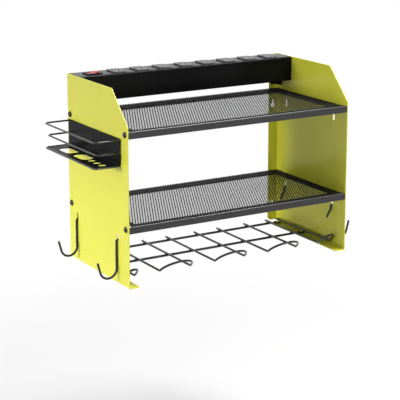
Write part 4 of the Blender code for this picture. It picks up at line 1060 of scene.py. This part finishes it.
def hook_path(side, depth):
    """Tail, arch, leg, bend and tip, joined arc by arc in the plane y = depth."""
    inner = HOOK_LINE - ARCH
    corner = (inner, 0, HOOK_SEAT - TAIL_DROP)
    tail = (inner - TAIL_LENGTH * math.sin(TAIL_LEAN), 0,
            corner[2] - TAIL_LENGTH * math.cos(TAIL_LEAN))
    inside = rounded_path([tail, corner, (inner, 0, HOOK_SEAT)], TAIL_RADIUS)
    over = arc((HOOK_LINE, HOOK_SEAT), ARCH, math.pi, 0, steps=16)[1:]
    centre = HOOK_LINE + ARCH + BEND_TURN
    bend = arc((centre, BEND_HEIGHT), BEND_TURN, math.pi, math.pi + SWEEP, steps=32)
    tip = bend[-1] + TIP_LENGTH * np.array([math.sin(math.pi - SWEEP), math.cos(math.pi - SWEEP)])
    flat = np.concatenate([inside[:, [0, 2]], over, bend, tip[None]])
    return np.column_stack([side * flat[:, 0], np.full(len(flat), depth), flat[:, 1]])


for side_name, side in SIDES:
    for end_name, depth in SLOT_DEPTHS.items():
        place_name = "%s_%s" % (side_name, end_name)
        place_wire("hook_wire_" + place_name, [wire(hook_path(side, depth), (0, 1, 0), HOOK_WIRE)],
                   "side_hook_" + place_name, body="hook_" + place_name)
print("hook faces:", counts["hook_wire_left_front"])

# %% [markdown]
# ## The side bin
# The bin is a plate folded into a back and a floor, with three round holes and
# two long slots, two tabs that hook into the panel's slots, and three guard
# wires. The sizes below place its outside. On its three open sides the floor
# stops a small gap short of the lowest guard wire.

# %% Sizes of the bin
BIN_FLOOR = 0.2045
BIN_TOP = 0.250
BIN_FACE = -HALF_WIDTH - GAP - SHEET
BIN_FRONT = -0.198
BIN_BACK = -0.008
BIN_REACH = HALF_WIDTH + 0.0475
BIN_WIRE = 0.0032
WIRE_ROOM = BIN_WIRE / 2 + GAP
FLOOR_FRONT = BIN_FRONT + WIRE_ROOM
FLOOR_BACK = BIN_BACK - WIRE_ROOM
FLOOR_REACH = BIN_REACH - WIRE_ROOM
BIN_BEND = BIN_FLOOR - SHEET / 2 + OUTER_RADIUS
print("the bin's plate bends at z = %.4f" % BIN_BEND)

# %% [markdown]
# The plate is cut flat and folded by the same formula as the panels, and then
# turned round, because it stands outside the panel. The floor's outer corners
# are cut off, and its holes keep what stands in them apart: small round ones at
# the front and long wide ones behind.

# %% Build the bin's plate
FLOOR_CORNER = 0.0061
FLOOR_FILLET = 0.002
TOP_FILLET = 0.0010
HOLE_SIDE = 0.2442
ROUND_HOLE = 0.014
ROUND_HOLES = 3
LONG_HOLE_WIDTH = 0.024
LONG_HOLES = 2
FIRST_HOLE_SHARE = 0.09
ROUND_PITCH_SHARE = 0.10
LONG_HOLE_SHARE = 0.24
LONG_PITCH_SHARE = 0.29


def below_bend(reach):
    """Height on the flat plate of a floor point that ends up at this reach."""
    return BIN_BEND - BEND_LENGTH - (reach - HALF_WIDTH - GAP - OUTER_RADIUS)


def bin_rim():
    """Outline of the flat plate as (depth, height, fillet) corners.

    The floor lies below the bend line. It is narrower than the back, so that
    the lowest guard wire passes at both ends.
    """
    floor_far = below_bend(FLOOR_REACH)
    relief = BIN_BEND + GAP
    return fillet([
        (FLOOR_FRONT - BIN_WIRE, BIN_TOP, TOP_FILLET),
        (FLOOR_FRONT - BIN_WIRE, relief, 0),
        (FLOOR_FRONT, relief, 0),
        (FLOOR_FRONT, floor_far + FLOOR_CORNER, FLOOR_FILLET),
        (FLOOR_FRONT + FLOOR_CORNER, floor_far, FLOOR_FILLET),
        (FLOOR_BACK - FLOOR_CORNER, floor_far, FLOOR_FILLET),
        (FLOOR_BACK, floor_far + FLOOR_CORNER, FLOOR_FILLET),
        (FLOOR_BACK, relief, 0),
        (FLOOR_BACK + BIN_WIRE, relief, 0),
        (FLOOR_BACK + BIN_WIRE, BIN_TOP, TOP_FILLET),
    ])


def bin_holes():
    """Round holes from the front, then long ones, at shares of the bin's length."""
    length = BIN_BACK - BIN_FRONT
    line = below_bend(HOLE_SIDE)
    place = FLOOR_FRONT + length * FIRST_HOLE_SHARE
    holes = []
    for _ in range(ROUND_HOLES):
        holes.append(round_hole((place, line), ROUND_HOLE, steps=40))
        place += length * ROUND_PITCH_SHARE
    place += length * (LONG_HOLE_SHARE - ROUND_PITCH_SHARE) / 2
    for _ in range(LONG_HOLES):
        upright = long_hole((line, place), LONG_HOLE_WIDTH, length * LONG_HOLE_SHARE, steps=20)
        holes.append(upright[:, ::-1])
        place += length * LONG_PITCH_SHARE
    return holes


def folded_bin():
    """The plate, cut flat, folded and turned round."""
    mesh, flat = cut_sheet([bin_rim()] + bin_holes(), SHEET, [(1, BIN_BEND - BEND_LINES)])
    upright = np.column_stack([-HALF_WIDTH + SHEET / 2 - flat[:, 2], flat[:, :2]])
    folded = fold(upright, 2, BIN_BEND, -1)
    move_points(mesh, folded * [-1, 1, 1] - [2 * HALF_WIDTH + GAP, 0, 0])
    return mesh


print("points of the plate's outline:", len(bin_rim()), "holes:", len(bin_holes()))

# %% [markdown]
# The tabs are cut from the same sheet and stand square to the plate. Each goes
# through its slot, rests on the slot's round lower end and hooks down behind
# the panel.

# %% Add the bin's tabs
TAB_HEIGHT = 0.008
TAB_REACH = 0.0045
TAB_DROP = 0.0035
TAB_EDGE = 0.00025
SLOT_END_RISE = 0.000115


def bin_tab(depth):
    """Hooked tab, drawn as an (x, z) outline and carried to its depth."""
    seat = BIN_SEAT + SLOT_END_RISE + GAP
    root = -HALF_WIDTH - GAP - SHEET / 2
    behind = -PANEL_INNER + GAP
    far = behind + TAB_REACH
    outline = fillet([
        (root, seat, 0), (root, seat + TAB_HEIGHT, 0),
        (far, seat + TAB_HEIGHT, SHEET), (far, seat - TAB_DROP, SHEET),
        (behind, seat - TAB_DROP, SHEET_EDGE), (behind, seat, SHEET_EDGE),
    ])
    mesh, flat = cut_sheet([outline], SHEET, edge=TAB_EDGE)
    move_points(mesh, flat[:, [0, 2, 1]] + [0, depth, 0])
    return mesh


def merge_meshes(parts):
    """One mesh from several, which are removed afterwards."""
    whole = bmesh.new()
    for part in parts:
        whole.from_mesh(part)
        bpy.data.meshes.remove(part)
    return as_mesh(whole)


parts = [folded_bin()] + [bin_tab(depth) for depth in SLOT_DEPTHS.values()]
settle("bin_plate", merge_meshes(parts), "side_bin", "charcoal_powder_coat",
       "side_bin_plate", finish="bin_powder_coat")
print("bin plate faces:", counts["bin_plate"])

# %% [markdown]
# The guard wires go round the three open sides of the bin, and the middle one
# sits a little further in. The upper two are welded to the plate's face at both
# ends, and the lowest runs back to the panel beside the floor.

# %% Build the bin's guard wires
GUARD_PITCH = 0.0215
GUARD_CORNER = 0.008
MIDDLE_INSET = 0.005
BIN_WELD = (0.0009, 0.0023, 0.0023)
beads = []
for index, (level_name, inset, start) in enumerate((
    ("bottom", 0, -HALF_WIDTH - GAP),
    ("middle", MIDDLE_INSET, BIN_FACE - GAP),
    ("top", 0, BIN_FACE - GAP),
)):
    height = BIN_FLOOR + index * GUARD_PITCH
    reach = inset - BIN_REACH
    path = rounded_path([
        (start, BIN_FRONT, height), (reach, BIN_FRONT, height),
        (reach, BIN_BACK, height), (start, BIN_BACK, height),
    ], GUARD_CORNER, steps=12)
    place_wire("bin_guard_" + level_name, [wire(path, (0, 0, 1), BIN_WIRE)],
               "side_bin_wire_" + level_name, body="side_bin")
    if level_name != "bottom":
        beads += [bead((BIN_FACE, y, height), BIN_WELD) for y in (BIN_FRONT, BIN_BACK)]
place_wire("bin_welds", beads, body="side_bin")
print("guard wires and", len(beads), "welds")

# %% [markdown]
# ## Screws
# Button-head screws with a hexagon socket hold the shelves. A screw is turned,
# so it is a stack of rings, and only the innermost rings are hexagons: at angle
# a, a hexagon's radius is its half width over the cosine of the angle to the
# middle of the nearest flat. The same rings make every screw, and a small
# matrix turns them towards the panel, the flange or the wall.

# %% Build the screws
HEAD_RIM = 0.0004
SOFT_EDGE = 0.0001
SHANK_CHAMFER = 0.0005
SOCKET_CONE = 0.0003
CONE_SHARE = 0.55
SOCKET_CHAMFER = 0.00015
MOUTH_SHARE = 1.07
DOME_START_SHARE = 0.72
DOME_RINGS = 7
SCREW_SIDES = 48


def screw_rings(head, height, shank, length, socket, socket_depth):
    """Rings from the socket's floor over the dome and down the shank, along +Z.

    The dome is part of a sphere: z = height - R + sqrt(R^2 - r^2), where R fits
    the head's edge at the rim's height.
    """
    angle = np.linspace(0, 2 * math.pi, SCREW_SIDES, endpoint=False)
    sixth = math.pi / 3
    hexagon = socket / 2 / np.cos((angle + sixth / 2) % sixth - sixth / 2)
    mouth = hexagon * MOUTH_SHARE
    rise = height - HEAD_RIM
    ball = ((head / 2) ** 2 + rise ** 2) / (2 * rise)

    def dome(radius):
        return height - ball + np.sqrt(ball ** 2 - radius ** 2)

    slope = np.linspace(socket * DOME_START_SHARE, head / 2 - 2 * SOFT_EDGE, DOME_RINGS)
    return turned([
        (hexagon * CONE_SHARE, height - socket_depth - SOCKET_CONE),
        (hexagon, height - socket_depth), (hexagon, dome(hexagon) - SOCKET_CHAMFER),
        (mouth, dome(mouth)), *zip(slope, dome(slope)), (head / 2, HEAD_RIM),
        (head / 2, SOFT_EDGE), (head / 2 - SOFT_EDGE, 0.0), (shank / 2, 0.0),
        (shank / 2, -length + SHANK_CHAMFER), (shank / 2 - SHANK_CHAMFER, -length),
    ], SCREW_SIDES)


SHELF_SCREW = screw_rings(
    head=0.0105, height=0.0032, shank=0.0048, length=0.0085, socket=0.0030, socket_depth=0.0016
)
SMALL_SCREW = screw_rings(
    head=0.0075, height=0.0024, shank=0.0038, length=0.0042, socket=0.0025, socket_depth=0.0013
)
print("a screw has", len(SHELF_SCREW), "rings")

# %% [markdown]
# Eight of these screws hold the shelves, with their heads outside the panels.
# Smaller ones of the same kind fix the rods from above and the strip's ears
# from the front.

# %% Place the screws
TURNS = {
    "left": np.array([[0, 0, -1], [0, 1, 0], [1, 0, 0]]),
    "right": np.array([[0, 0, 1], [0, 1, 0], [-1, 0, 0]]),
    "up": np.eye(3),
    "front": np.array([[1, 0, 0], [0, 0, -1], [0, 1, 0]]),
}
ROD_SCREW_SEAT = 0.0042
EAR_SCREW_SEAT = -0.0043


def place_screw(name, rings, turn, place, replaced):
    """Turn the rings, carry them to the screw's seat and settle the piece."""
    mesh = mesh_from([close_rings(rings @ TURNS[turn].T + place)])
    settle(name, mesh, "organizer", "black_screw", replaced)


for level_name, top in SHELF_TOPS.items():
    for side_name, side in SIDES:
        for end_name, depth in SCREW_DEPTHS.items():
            words = "%s_%s_%s" % (level_name, side_name, end_name)
            seat = (side * (HALF_WIDTH + GAP), depth, top - SCREW_DROP)
            place_screw("button_screw_" + words, SHELF_SCREW, side_name, seat,
                        "shelf_screw_" + words)
for rod_name, depth in ROD_DEPTHS.items():
    for side_name, side in SIDES:
        words = "%s_%s" % (rod_name, side_name)
        seat = (side * ROD_SCREW_SIDE, depth, ROD_SCREW_SEAT)
        place_screw("rod_screw_" + words, SMALL_SCREW, "up", seat, "rack_screw_" + words)
for side_name, side in SIDES:
    seat = (side * EAR_SCREW_SIDE, EAR_SCREW_SEAT, EAR_SCREW_HEIGHT)
    place_screw(side_name + "_ear_screw", SMALL_SCREW, "front", seat, side_name + "_strip_screw")
print("screws:", sum("screw" in name for name in counts))

# %% [markdown]
# ## The outlets
# Eight grey outlets stand a little proud of the strip. What lies below a face
# is made of plain blocks. Moulded blocks have round corners and soft rims, so a
# block is one outline at four heights, drawn in a little at both ends.

# %% Rounded blocks
BLOCK_EDGE = 0.0003


def rounded_rectangle(u, v, radius, steps):
    """Outline of half sizes u and v with the same fillet at all four corners."""
    return fillet([(-u, -v, radius), (u, -v, radius), (u, v, radius), (-u, v, radius)], steps)


def rounded_block(u, v, low, high, radius):
    """Closed block of half sizes u and v: one outline at four heights."""
    outline = rounded_rectangle(u, v, radius, steps=4)
    inset = outline * [1 - BLOCK_EDGE / u, 1 - BLOCK_EDGE / v]
    levels = ((inset, low), (outline, low + BLOCK_EDGE),
              (outline, high - BLOCK_EDGE), (inset, high))
    rings = [np.column_stack([flat, np.full(len(flat), z)]) for flat, z in levels]
    return close_rings(np.stack(rings))


print("points of a block:", len(rounded_block(0.010, 0.015, 0.0, 0.010, 0.002)[0]))

# %% [markdown]
# Each face has two blade slots and a round earth hole. A cut sheet as deep as
# the sockets makes the face and the holes in one go, with the face's rim rounded
# over. A block below it closes the sockets, and a wider one is the flange that
# sits under the lid. One outlet is built and copied along the strip.

# %% Build the outlets
OUTLET_COUNT = 8
OUTLET_PITCH = 0.045
FIRST_OUTLET = -HALF_WIDTH + 0.084
OUTLET_HALF_WIDTH = 0.012
OUTLET_HALF_LENGTH = 0.017
OUTLET_CORNER = 0.003
OUTLET_RISE = 0.0022
OUTLET_EDGE = 0.00045
OUTLET_LOW = -0.012
SOCKET_DEPTH = 0.009
SOCKET_OVERLAP = 0.0002
BLADE_OFFSET = 0.00635
BLADE_HALF = 0.0011
BLADE_LENGTH = 0.008
BLADE_FILLET = 0.0003
EARTH_PLACE = (0, -0.0085)
EARTH_HOLE = 0.0052
FLANGE_MARGIN = 0.002
FLANGE_HEIGHTS = (-0.0045, -0.0025)
FLANGE_CORNER = 0.001


def outlet_face():
    """Cut sheet of the face with its sockets, top at OUTLET_RISE."""
    rim = rounded_rectangle(OUTLET_HALF_WIDTH, OUTLET_HALF_LENGTH, OUTLET_CORNER, steps=8)
    blade = rounded_rectangle(BLADE_HALF, BLADE_LENGTH / 2, BLADE_FILLET, steps=2)
    holes = [blade + [side * BLADE_OFFSET, BLADE_LENGTH / 2] for _, side in SIDES]
    holes.append(round_hole(EARTH_PLACE, EARTH_HOLE))
    mesh, flat = cut_sheet([rim] + holes, SOCKET_DEPTH, edge=OUTLET_EDGE, edge_steps=3)
    move_points(mesh, flat + [0, 0, OUTLET_RISE - SOCKET_DEPTH / 2])
    return mesh


def outlet_below():
    """The block that closes the sockets, and the flange under the lid."""
    u, v = OUTLET_HALF_WIDTH, OUTLET_HALF_LENGTH
    block_top = OUTLET_RISE - SOCKET_DEPTH + SOCKET_OVERLAP
    block = rounded_block(u, v, OUTLET_LOW, block_top, OUTLET_CORNER)
    flange = rounded_block(u + FLANGE_MARGIN, v + FLANGE_MARGIN, *FLANGE_HEIGHTS, FLANGE_CORNER)
    return mesh_from([block, flange])


outlet = merge_meshes([outlet_face(), outlet_below()])
for index in range(OUTLET_COUNT):
    mesh = outlet.copy()
    place_x = FIRST_OUTLET + index * OUTLET_PITCH
    move_points(mesh, read_points(outlet) + [place_x, STRIP_MIDDLE, STRIP_TOP])
    settle("outlet_block_%d" % (index + 1), mesh, "organizer", "grey_plastic",
           "outlet_%d" % (index + 1))
bpy.data.meshes.remove(outlet)
print("outlet faces:", counts["outlet_block_1"])

# %% [markdown]
# ## The rocker
# The rocker's face is a shallow valley with its lowest line over the pivot. The
# valley comes from a rounded V, which is the square root of x squared plus a
# small square. Its section is carried across the width and shrinks a little at
# both ends, so that all of its edges are soft. At rest it is tipped to one side.

# %% Build the rocker
ROCKER_X = -0.1825
PIVOT = STRIP_TOP - 0.0011
ROCKER_TIP = math.radians(8)
ROCKER_HALF = 0.0098
ROCKER_EDGE = 0.0004
VALLEY_RISE = 0.0022
VALLEY_ROUND = 0.001
SKIRT = [(-ROCKER_HALF, -0.0014), (-ROCKER_HALF + 0.0003, -0.0016), (-0.006, -0.0030)]
SECTION_MIDDLE = (0.0, 0.0006)
END_SHRINK = [(0.0055, 0), (0.0059, 0.00003), (0.0062, 0.00015), (0.0063, 0.0004)]
PIN = [(0.0011, -0.0073), (0.0013, -0.0072), (0.0013, 0.0072), (0.0011, 0.0073)]
PIN_SIDES = 24


def rocker_section():
    """Outline (x, z) about the pivot: the valley above, chamfers and foot below.

    The face is z = rise + tan(8 degrees) * (sqrt(x^2 + round^2) - round).
    """
    x = np.linspace(ROCKER_HALF - ROCKER_EDGE, -ROCKER_HALF + ROCKER_EDGE, 25)
    valley = np.sqrt(x ** 2 + VALLEY_ROUND ** 2) - VALLEY_ROUND
    face = VALLEY_RISE + math.tan(ROCKER_TIP) * valley
    left = np.array([(-ROCKER_HALF, face[0] - ROCKER_EDGE), *SKIRT])
    return np.concatenate([np.column_stack([x, face]), left, left[::-1] * [-1, 1]])


def rocker_rings():
    """Rings across the width: the section, shrunk at both ends, then tipped over."""
    half, inset = np.array(END_SHRINK).T
    across = np.concatenate([-half[::-1], half])
    shrink = np.concatenate([inset[::-1], inset])[:, None, None]
    section = rocker_section()
    rows = section + unit(SECTION_MIDDLE - section) * shrink
    c, s = math.cos(ROCKER_TIP), math.sin(ROCKER_TIP)
    tipped = rows @ np.array([[c, s], [-s, c]])
    y = np.broadcast_to(across[:, None], tipped.shape[:2])
    return np.stack([tipped[..., 0], y, tipped[..., 1]], axis=-1)


pin_rings = turned(PIN, PIN_SIDES)[..., [0, 2, 1]]
shapes = [close_rings(rings + [ROCKER_X, STRIP_MIDDLE, PIVOT])
          for rings in (rocker_rings(), pin_rings)]
settle("rocker_paddle", mesh_from(shapes), "rocker", "red_plastic", "rocker")
print("rocker faces:", counts["rocker_paddle"])

# %% [markdown]
# ## The cable gland
# The gland sits below the strip, where its supply goes in. It is turned, so its
# profile is carried round a circle, and its nut has twelve shallow ribs to grip.
# Its bore is left open, so the last ring meets the first and no end is closed.

# %% Build the cable gland
GLAND_X = -0.184
GLAND_LOW = STRIP_TOP - 0.045
GLAND_SIDES = 96
RIB_COUNT = 12
RIB_SHARE = 0.02


def gland_rings():
    """Closed loop of rings: up the outside, over the top and down the bore.

    The nut's radius is r * (1 - share * (1 - cos 12 a)).
    """
    angle = np.linspace(0, 2 * math.pi, GLAND_SIDES, endpoint=False)
    ribs = 1 - RIB_SHARE * (1 - np.cos(RIB_COUNT * angle))
    rings = turned([
        (0.0040, -0.0115), (0.0053, -0.0115), (0.0056, -0.0112), (0.0065, -0.0072),
        (0.0066, -0.0070), (0.0086 * ribs, -0.0070), (0.0090 * ribs, -0.0066),
        (0.0090 * ribs, -0.0008), (0.0087 * ribs, -0.0003), (0.0060, -0.0003),
        (0.0060, 0.0058), (0.0058, 0.0060), (0.0040, 0.0060), (0.00375, 0.0058),
        (0.00375, -0.0112),
    ], GLAND_SIDES)
    return rings + [GLAND_X, STRIP_MIDDLE, GLAND_LOW]


mesh = mesh_from([loop_rings(gland_rings())])
settle("gland", mesh, "organizer", "gloss_black_plastic", "cable_gland")
print("gland faces:", counts["gland"])

# %% [markdown]
# ## The bars inside
# The three brass bars lie deep in the strip and stay as the solids have them.
# They still get their own finish, for anyone who takes the strip apart.

# %% Finish the bars
for name in ("live_bar", "earth_bar", "neutral_bar"):
    nodes[name].data.materials.clear()
    nodes[name].data.materials.append(finishes["brass"])
print("pieces made:", len(counts))

# %% [markdown]
# ## The studio
# The photograph shows the organizer on plain white. Here the world is white to
# the camera and to mirrors, and much dimmer as a lamp, so that the lamps shape
# the object. A Light Path node tells what a ray is for, and that picks one of
# the two levels.

# %% Build the world
WORLD_LIGHT = 0.42


def seen_rays(tree):
    """1 for camera, glossy and transmission rays, 0 for the rest."""
    path = tree.nodes.new("ShaderNodeLightPath")
    total = path.outputs["Is Camera Ray"]
    for name in ("Is Glossy Ray", "Is Transmission Ray"):
        total = combine(tree, "MAXIMUM", total, path.outputs[name])
    return total


def build_world():
    """White to camera, glossy and transmission rays, dim to diffuse ones."""
    world = bpy.data.worlds.new("studio")
    world.use_nodes = True
    bpy.context.scene.world = world
    tree = world.node_tree
    back = tree.nodes["Background"]
    back.inputs["Color"].default_value = (1, 1, 1, 1)
    level = map_range(tree, seen_rays(tree), (0, 1), (WORLD_LIGHT, 1))
    tree.links.new(level, back.inputs["Strength"])


build_world()
print("the world lights matt surfaces at %.2f of white" % WORLD_LIGHT)

# %% [markdown]
# The floor lies well below, because this object hangs on a wall. It catches a
# soft shadow near the object, and it fades into the white with the distance, so
# that no edge of it shows.

# %% Build the floor
FLOOR_HEIGHT = -0.36
FLOOR_RADIUS = 30
FLOOR_SIDES = 64
FLOOR_GREY = 0.72
FADE_DISTANCES = (0.30, 1.1)
FADE_SHARES = (0.45, 1)


def floor_finish():
    """Pale floor near the object that fades to plain white with the distance."""
    made = bpy.data.materials.new("pale_floor")
    made.use_nodes = True
    tree = made.node_tree
    shader = tree.nodes["Principled BSDF"]
    shader.inputs["Base Color"].default_value = (FLOOR_GREY, FLOOR_GREY, FLOOR_GREY, 1)
    shader.inputs["Roughness"].default_value = 0.9
    shader.inputs["Specular IOR Level"].default_value = 0.0
    glow = tree.nodes.new("ShaderNodeEmission")
    place = tree.nodes.new("ShaderNodeTexCoord")
    reach = tree.nodes.new("ShaderNodeVectorMath")
    reach.operation = "LENGTH"
    tree.links.new(place.outputs["Object"], reach.inputs[0])
    fade = map_range(tree, reach.outputs["Value"], FADE_DISTANCES, FADE_SHARES, "SMOOTHSTEP")
    blend = tree.nodes.new("ShaderNodeMixShader")
    tree.links.new(combine(tree, "MULTIPLY", fade, seen_rays(tree)), blend.inputs["Fac"])
    tree.links.new(shader.outputs["BSDF"], blend.inputs[1])
    tree.links.new(glow.outputs["Emission"], blend.inputs[2])
    tree.links.new(blend.outputs["Shader"], tree.nodes["Material Output"].inputs["Surface"])
    return made


def build_floor():
    """Round flat floor: x = R cos a, y = R sin a at one height."""
    rim = turned([(FLOOR_RADIUS, FLOOR_HEIGHT)], FLOOR_SIDES)[0]
    mesh = bpy.data.meshes.new("floor")
    mesh.from_pydata(rim, [], [list(range(FLOOR_SIDES))])
    mesh.materials.append(floor_finish())
    floor = bpy.data.objects.new("floor", mesh)
    bpy.context.collection.objects.link(floor)


build_floor()
print("floor at", FLOOR_HEIGHT)

# %% [markdown]
# Four softboxes light the object. The one on the left has a narrow beam that is
# aimed low, so the left panel gets brighter towards its foot, as it does in the
# photograph, and the panel keeps that light off the other panel's inner face.
# The one above draws the bright lines along the rails and edges.

# %% Place the lamps
LAMP_TARGET = (0.0, -0.11, 0.16)
LOW_TARGET = (0.0, -0.11, -0.08)


def add_lamp(name, place, size, power, target=LAMP_TARGET, spread=math.pi):
    """Square softbox that faces its target."""
    light = bpy.data.lights.new(name, "AREA")
    light.size = size
    light.energy = power
    light.spread = spread
    lamp = bpy.data.objects.new(name, light)
    lamp.location = place
    x, y, z = np.array(target) - np.array(place)
    tilt = math.pi / 2 + math.atan2(z, math.hypot(x, y))
    lamp.rotation_euler = (tilt, 0, math.atan2(y, x) - math.pi / 2)
    lamp.visible_camera = False
    bpy.context.collection.objects.link(lamp)


add_lamp("key_softbox", (-2.9, 0.1, 0.5), size=0.7, power=1.15, target=LOW_TARGET, spread=0.32)
add_lamp("front_softbox", (0.5, -2.9, 1.1), size=1.5, power=22)
add_lamp("top_softbox", (0.9, -0.45, 2.1), size=0.8, power=60)
add_lamp("right_softbox", (2.4, 0.3, 1.0), size=1.2, power=4.5)

# %% [markdown]
# ## The camera
# The photograph's view was found by fitting a camera to the panels' corners, the
# rails, the slots and the screws. It looks from the front left, slightly down,
# through a long lens. The frame is moved a little on the sensor, as a crop does,
# which sets the object above the picture's middle without tilting the view.

# %% Place the camera
LENS = 126.97
SHIFT = -0.125
AZIMUTH = math.radians(-30.872)
ELEVATION = math.radians(12.831)
CAMERA_PLACE = (-1.2580, -2.1863, 0.7414)
view = bpy.data.cameras.new("photo_view")
view.sensor_width = 36
view.lens = LENS
view.shift_y = SHIFT
view.clip_end = 100
camera = bpy.data.objects.new("photo_view", view)
camera.location = CAMERA_PLACE
camera.rotation_euler = (math.pi / 2 - ELEVATION, 0, AZIMUTH)
bpy.context.collection.objects.link(camera)
bpy.context.scene.camera = camera
bpy.context.scene.view_settings.view_transform = "Standard"
print("camera placed, lens %.1f mm" % LENS)
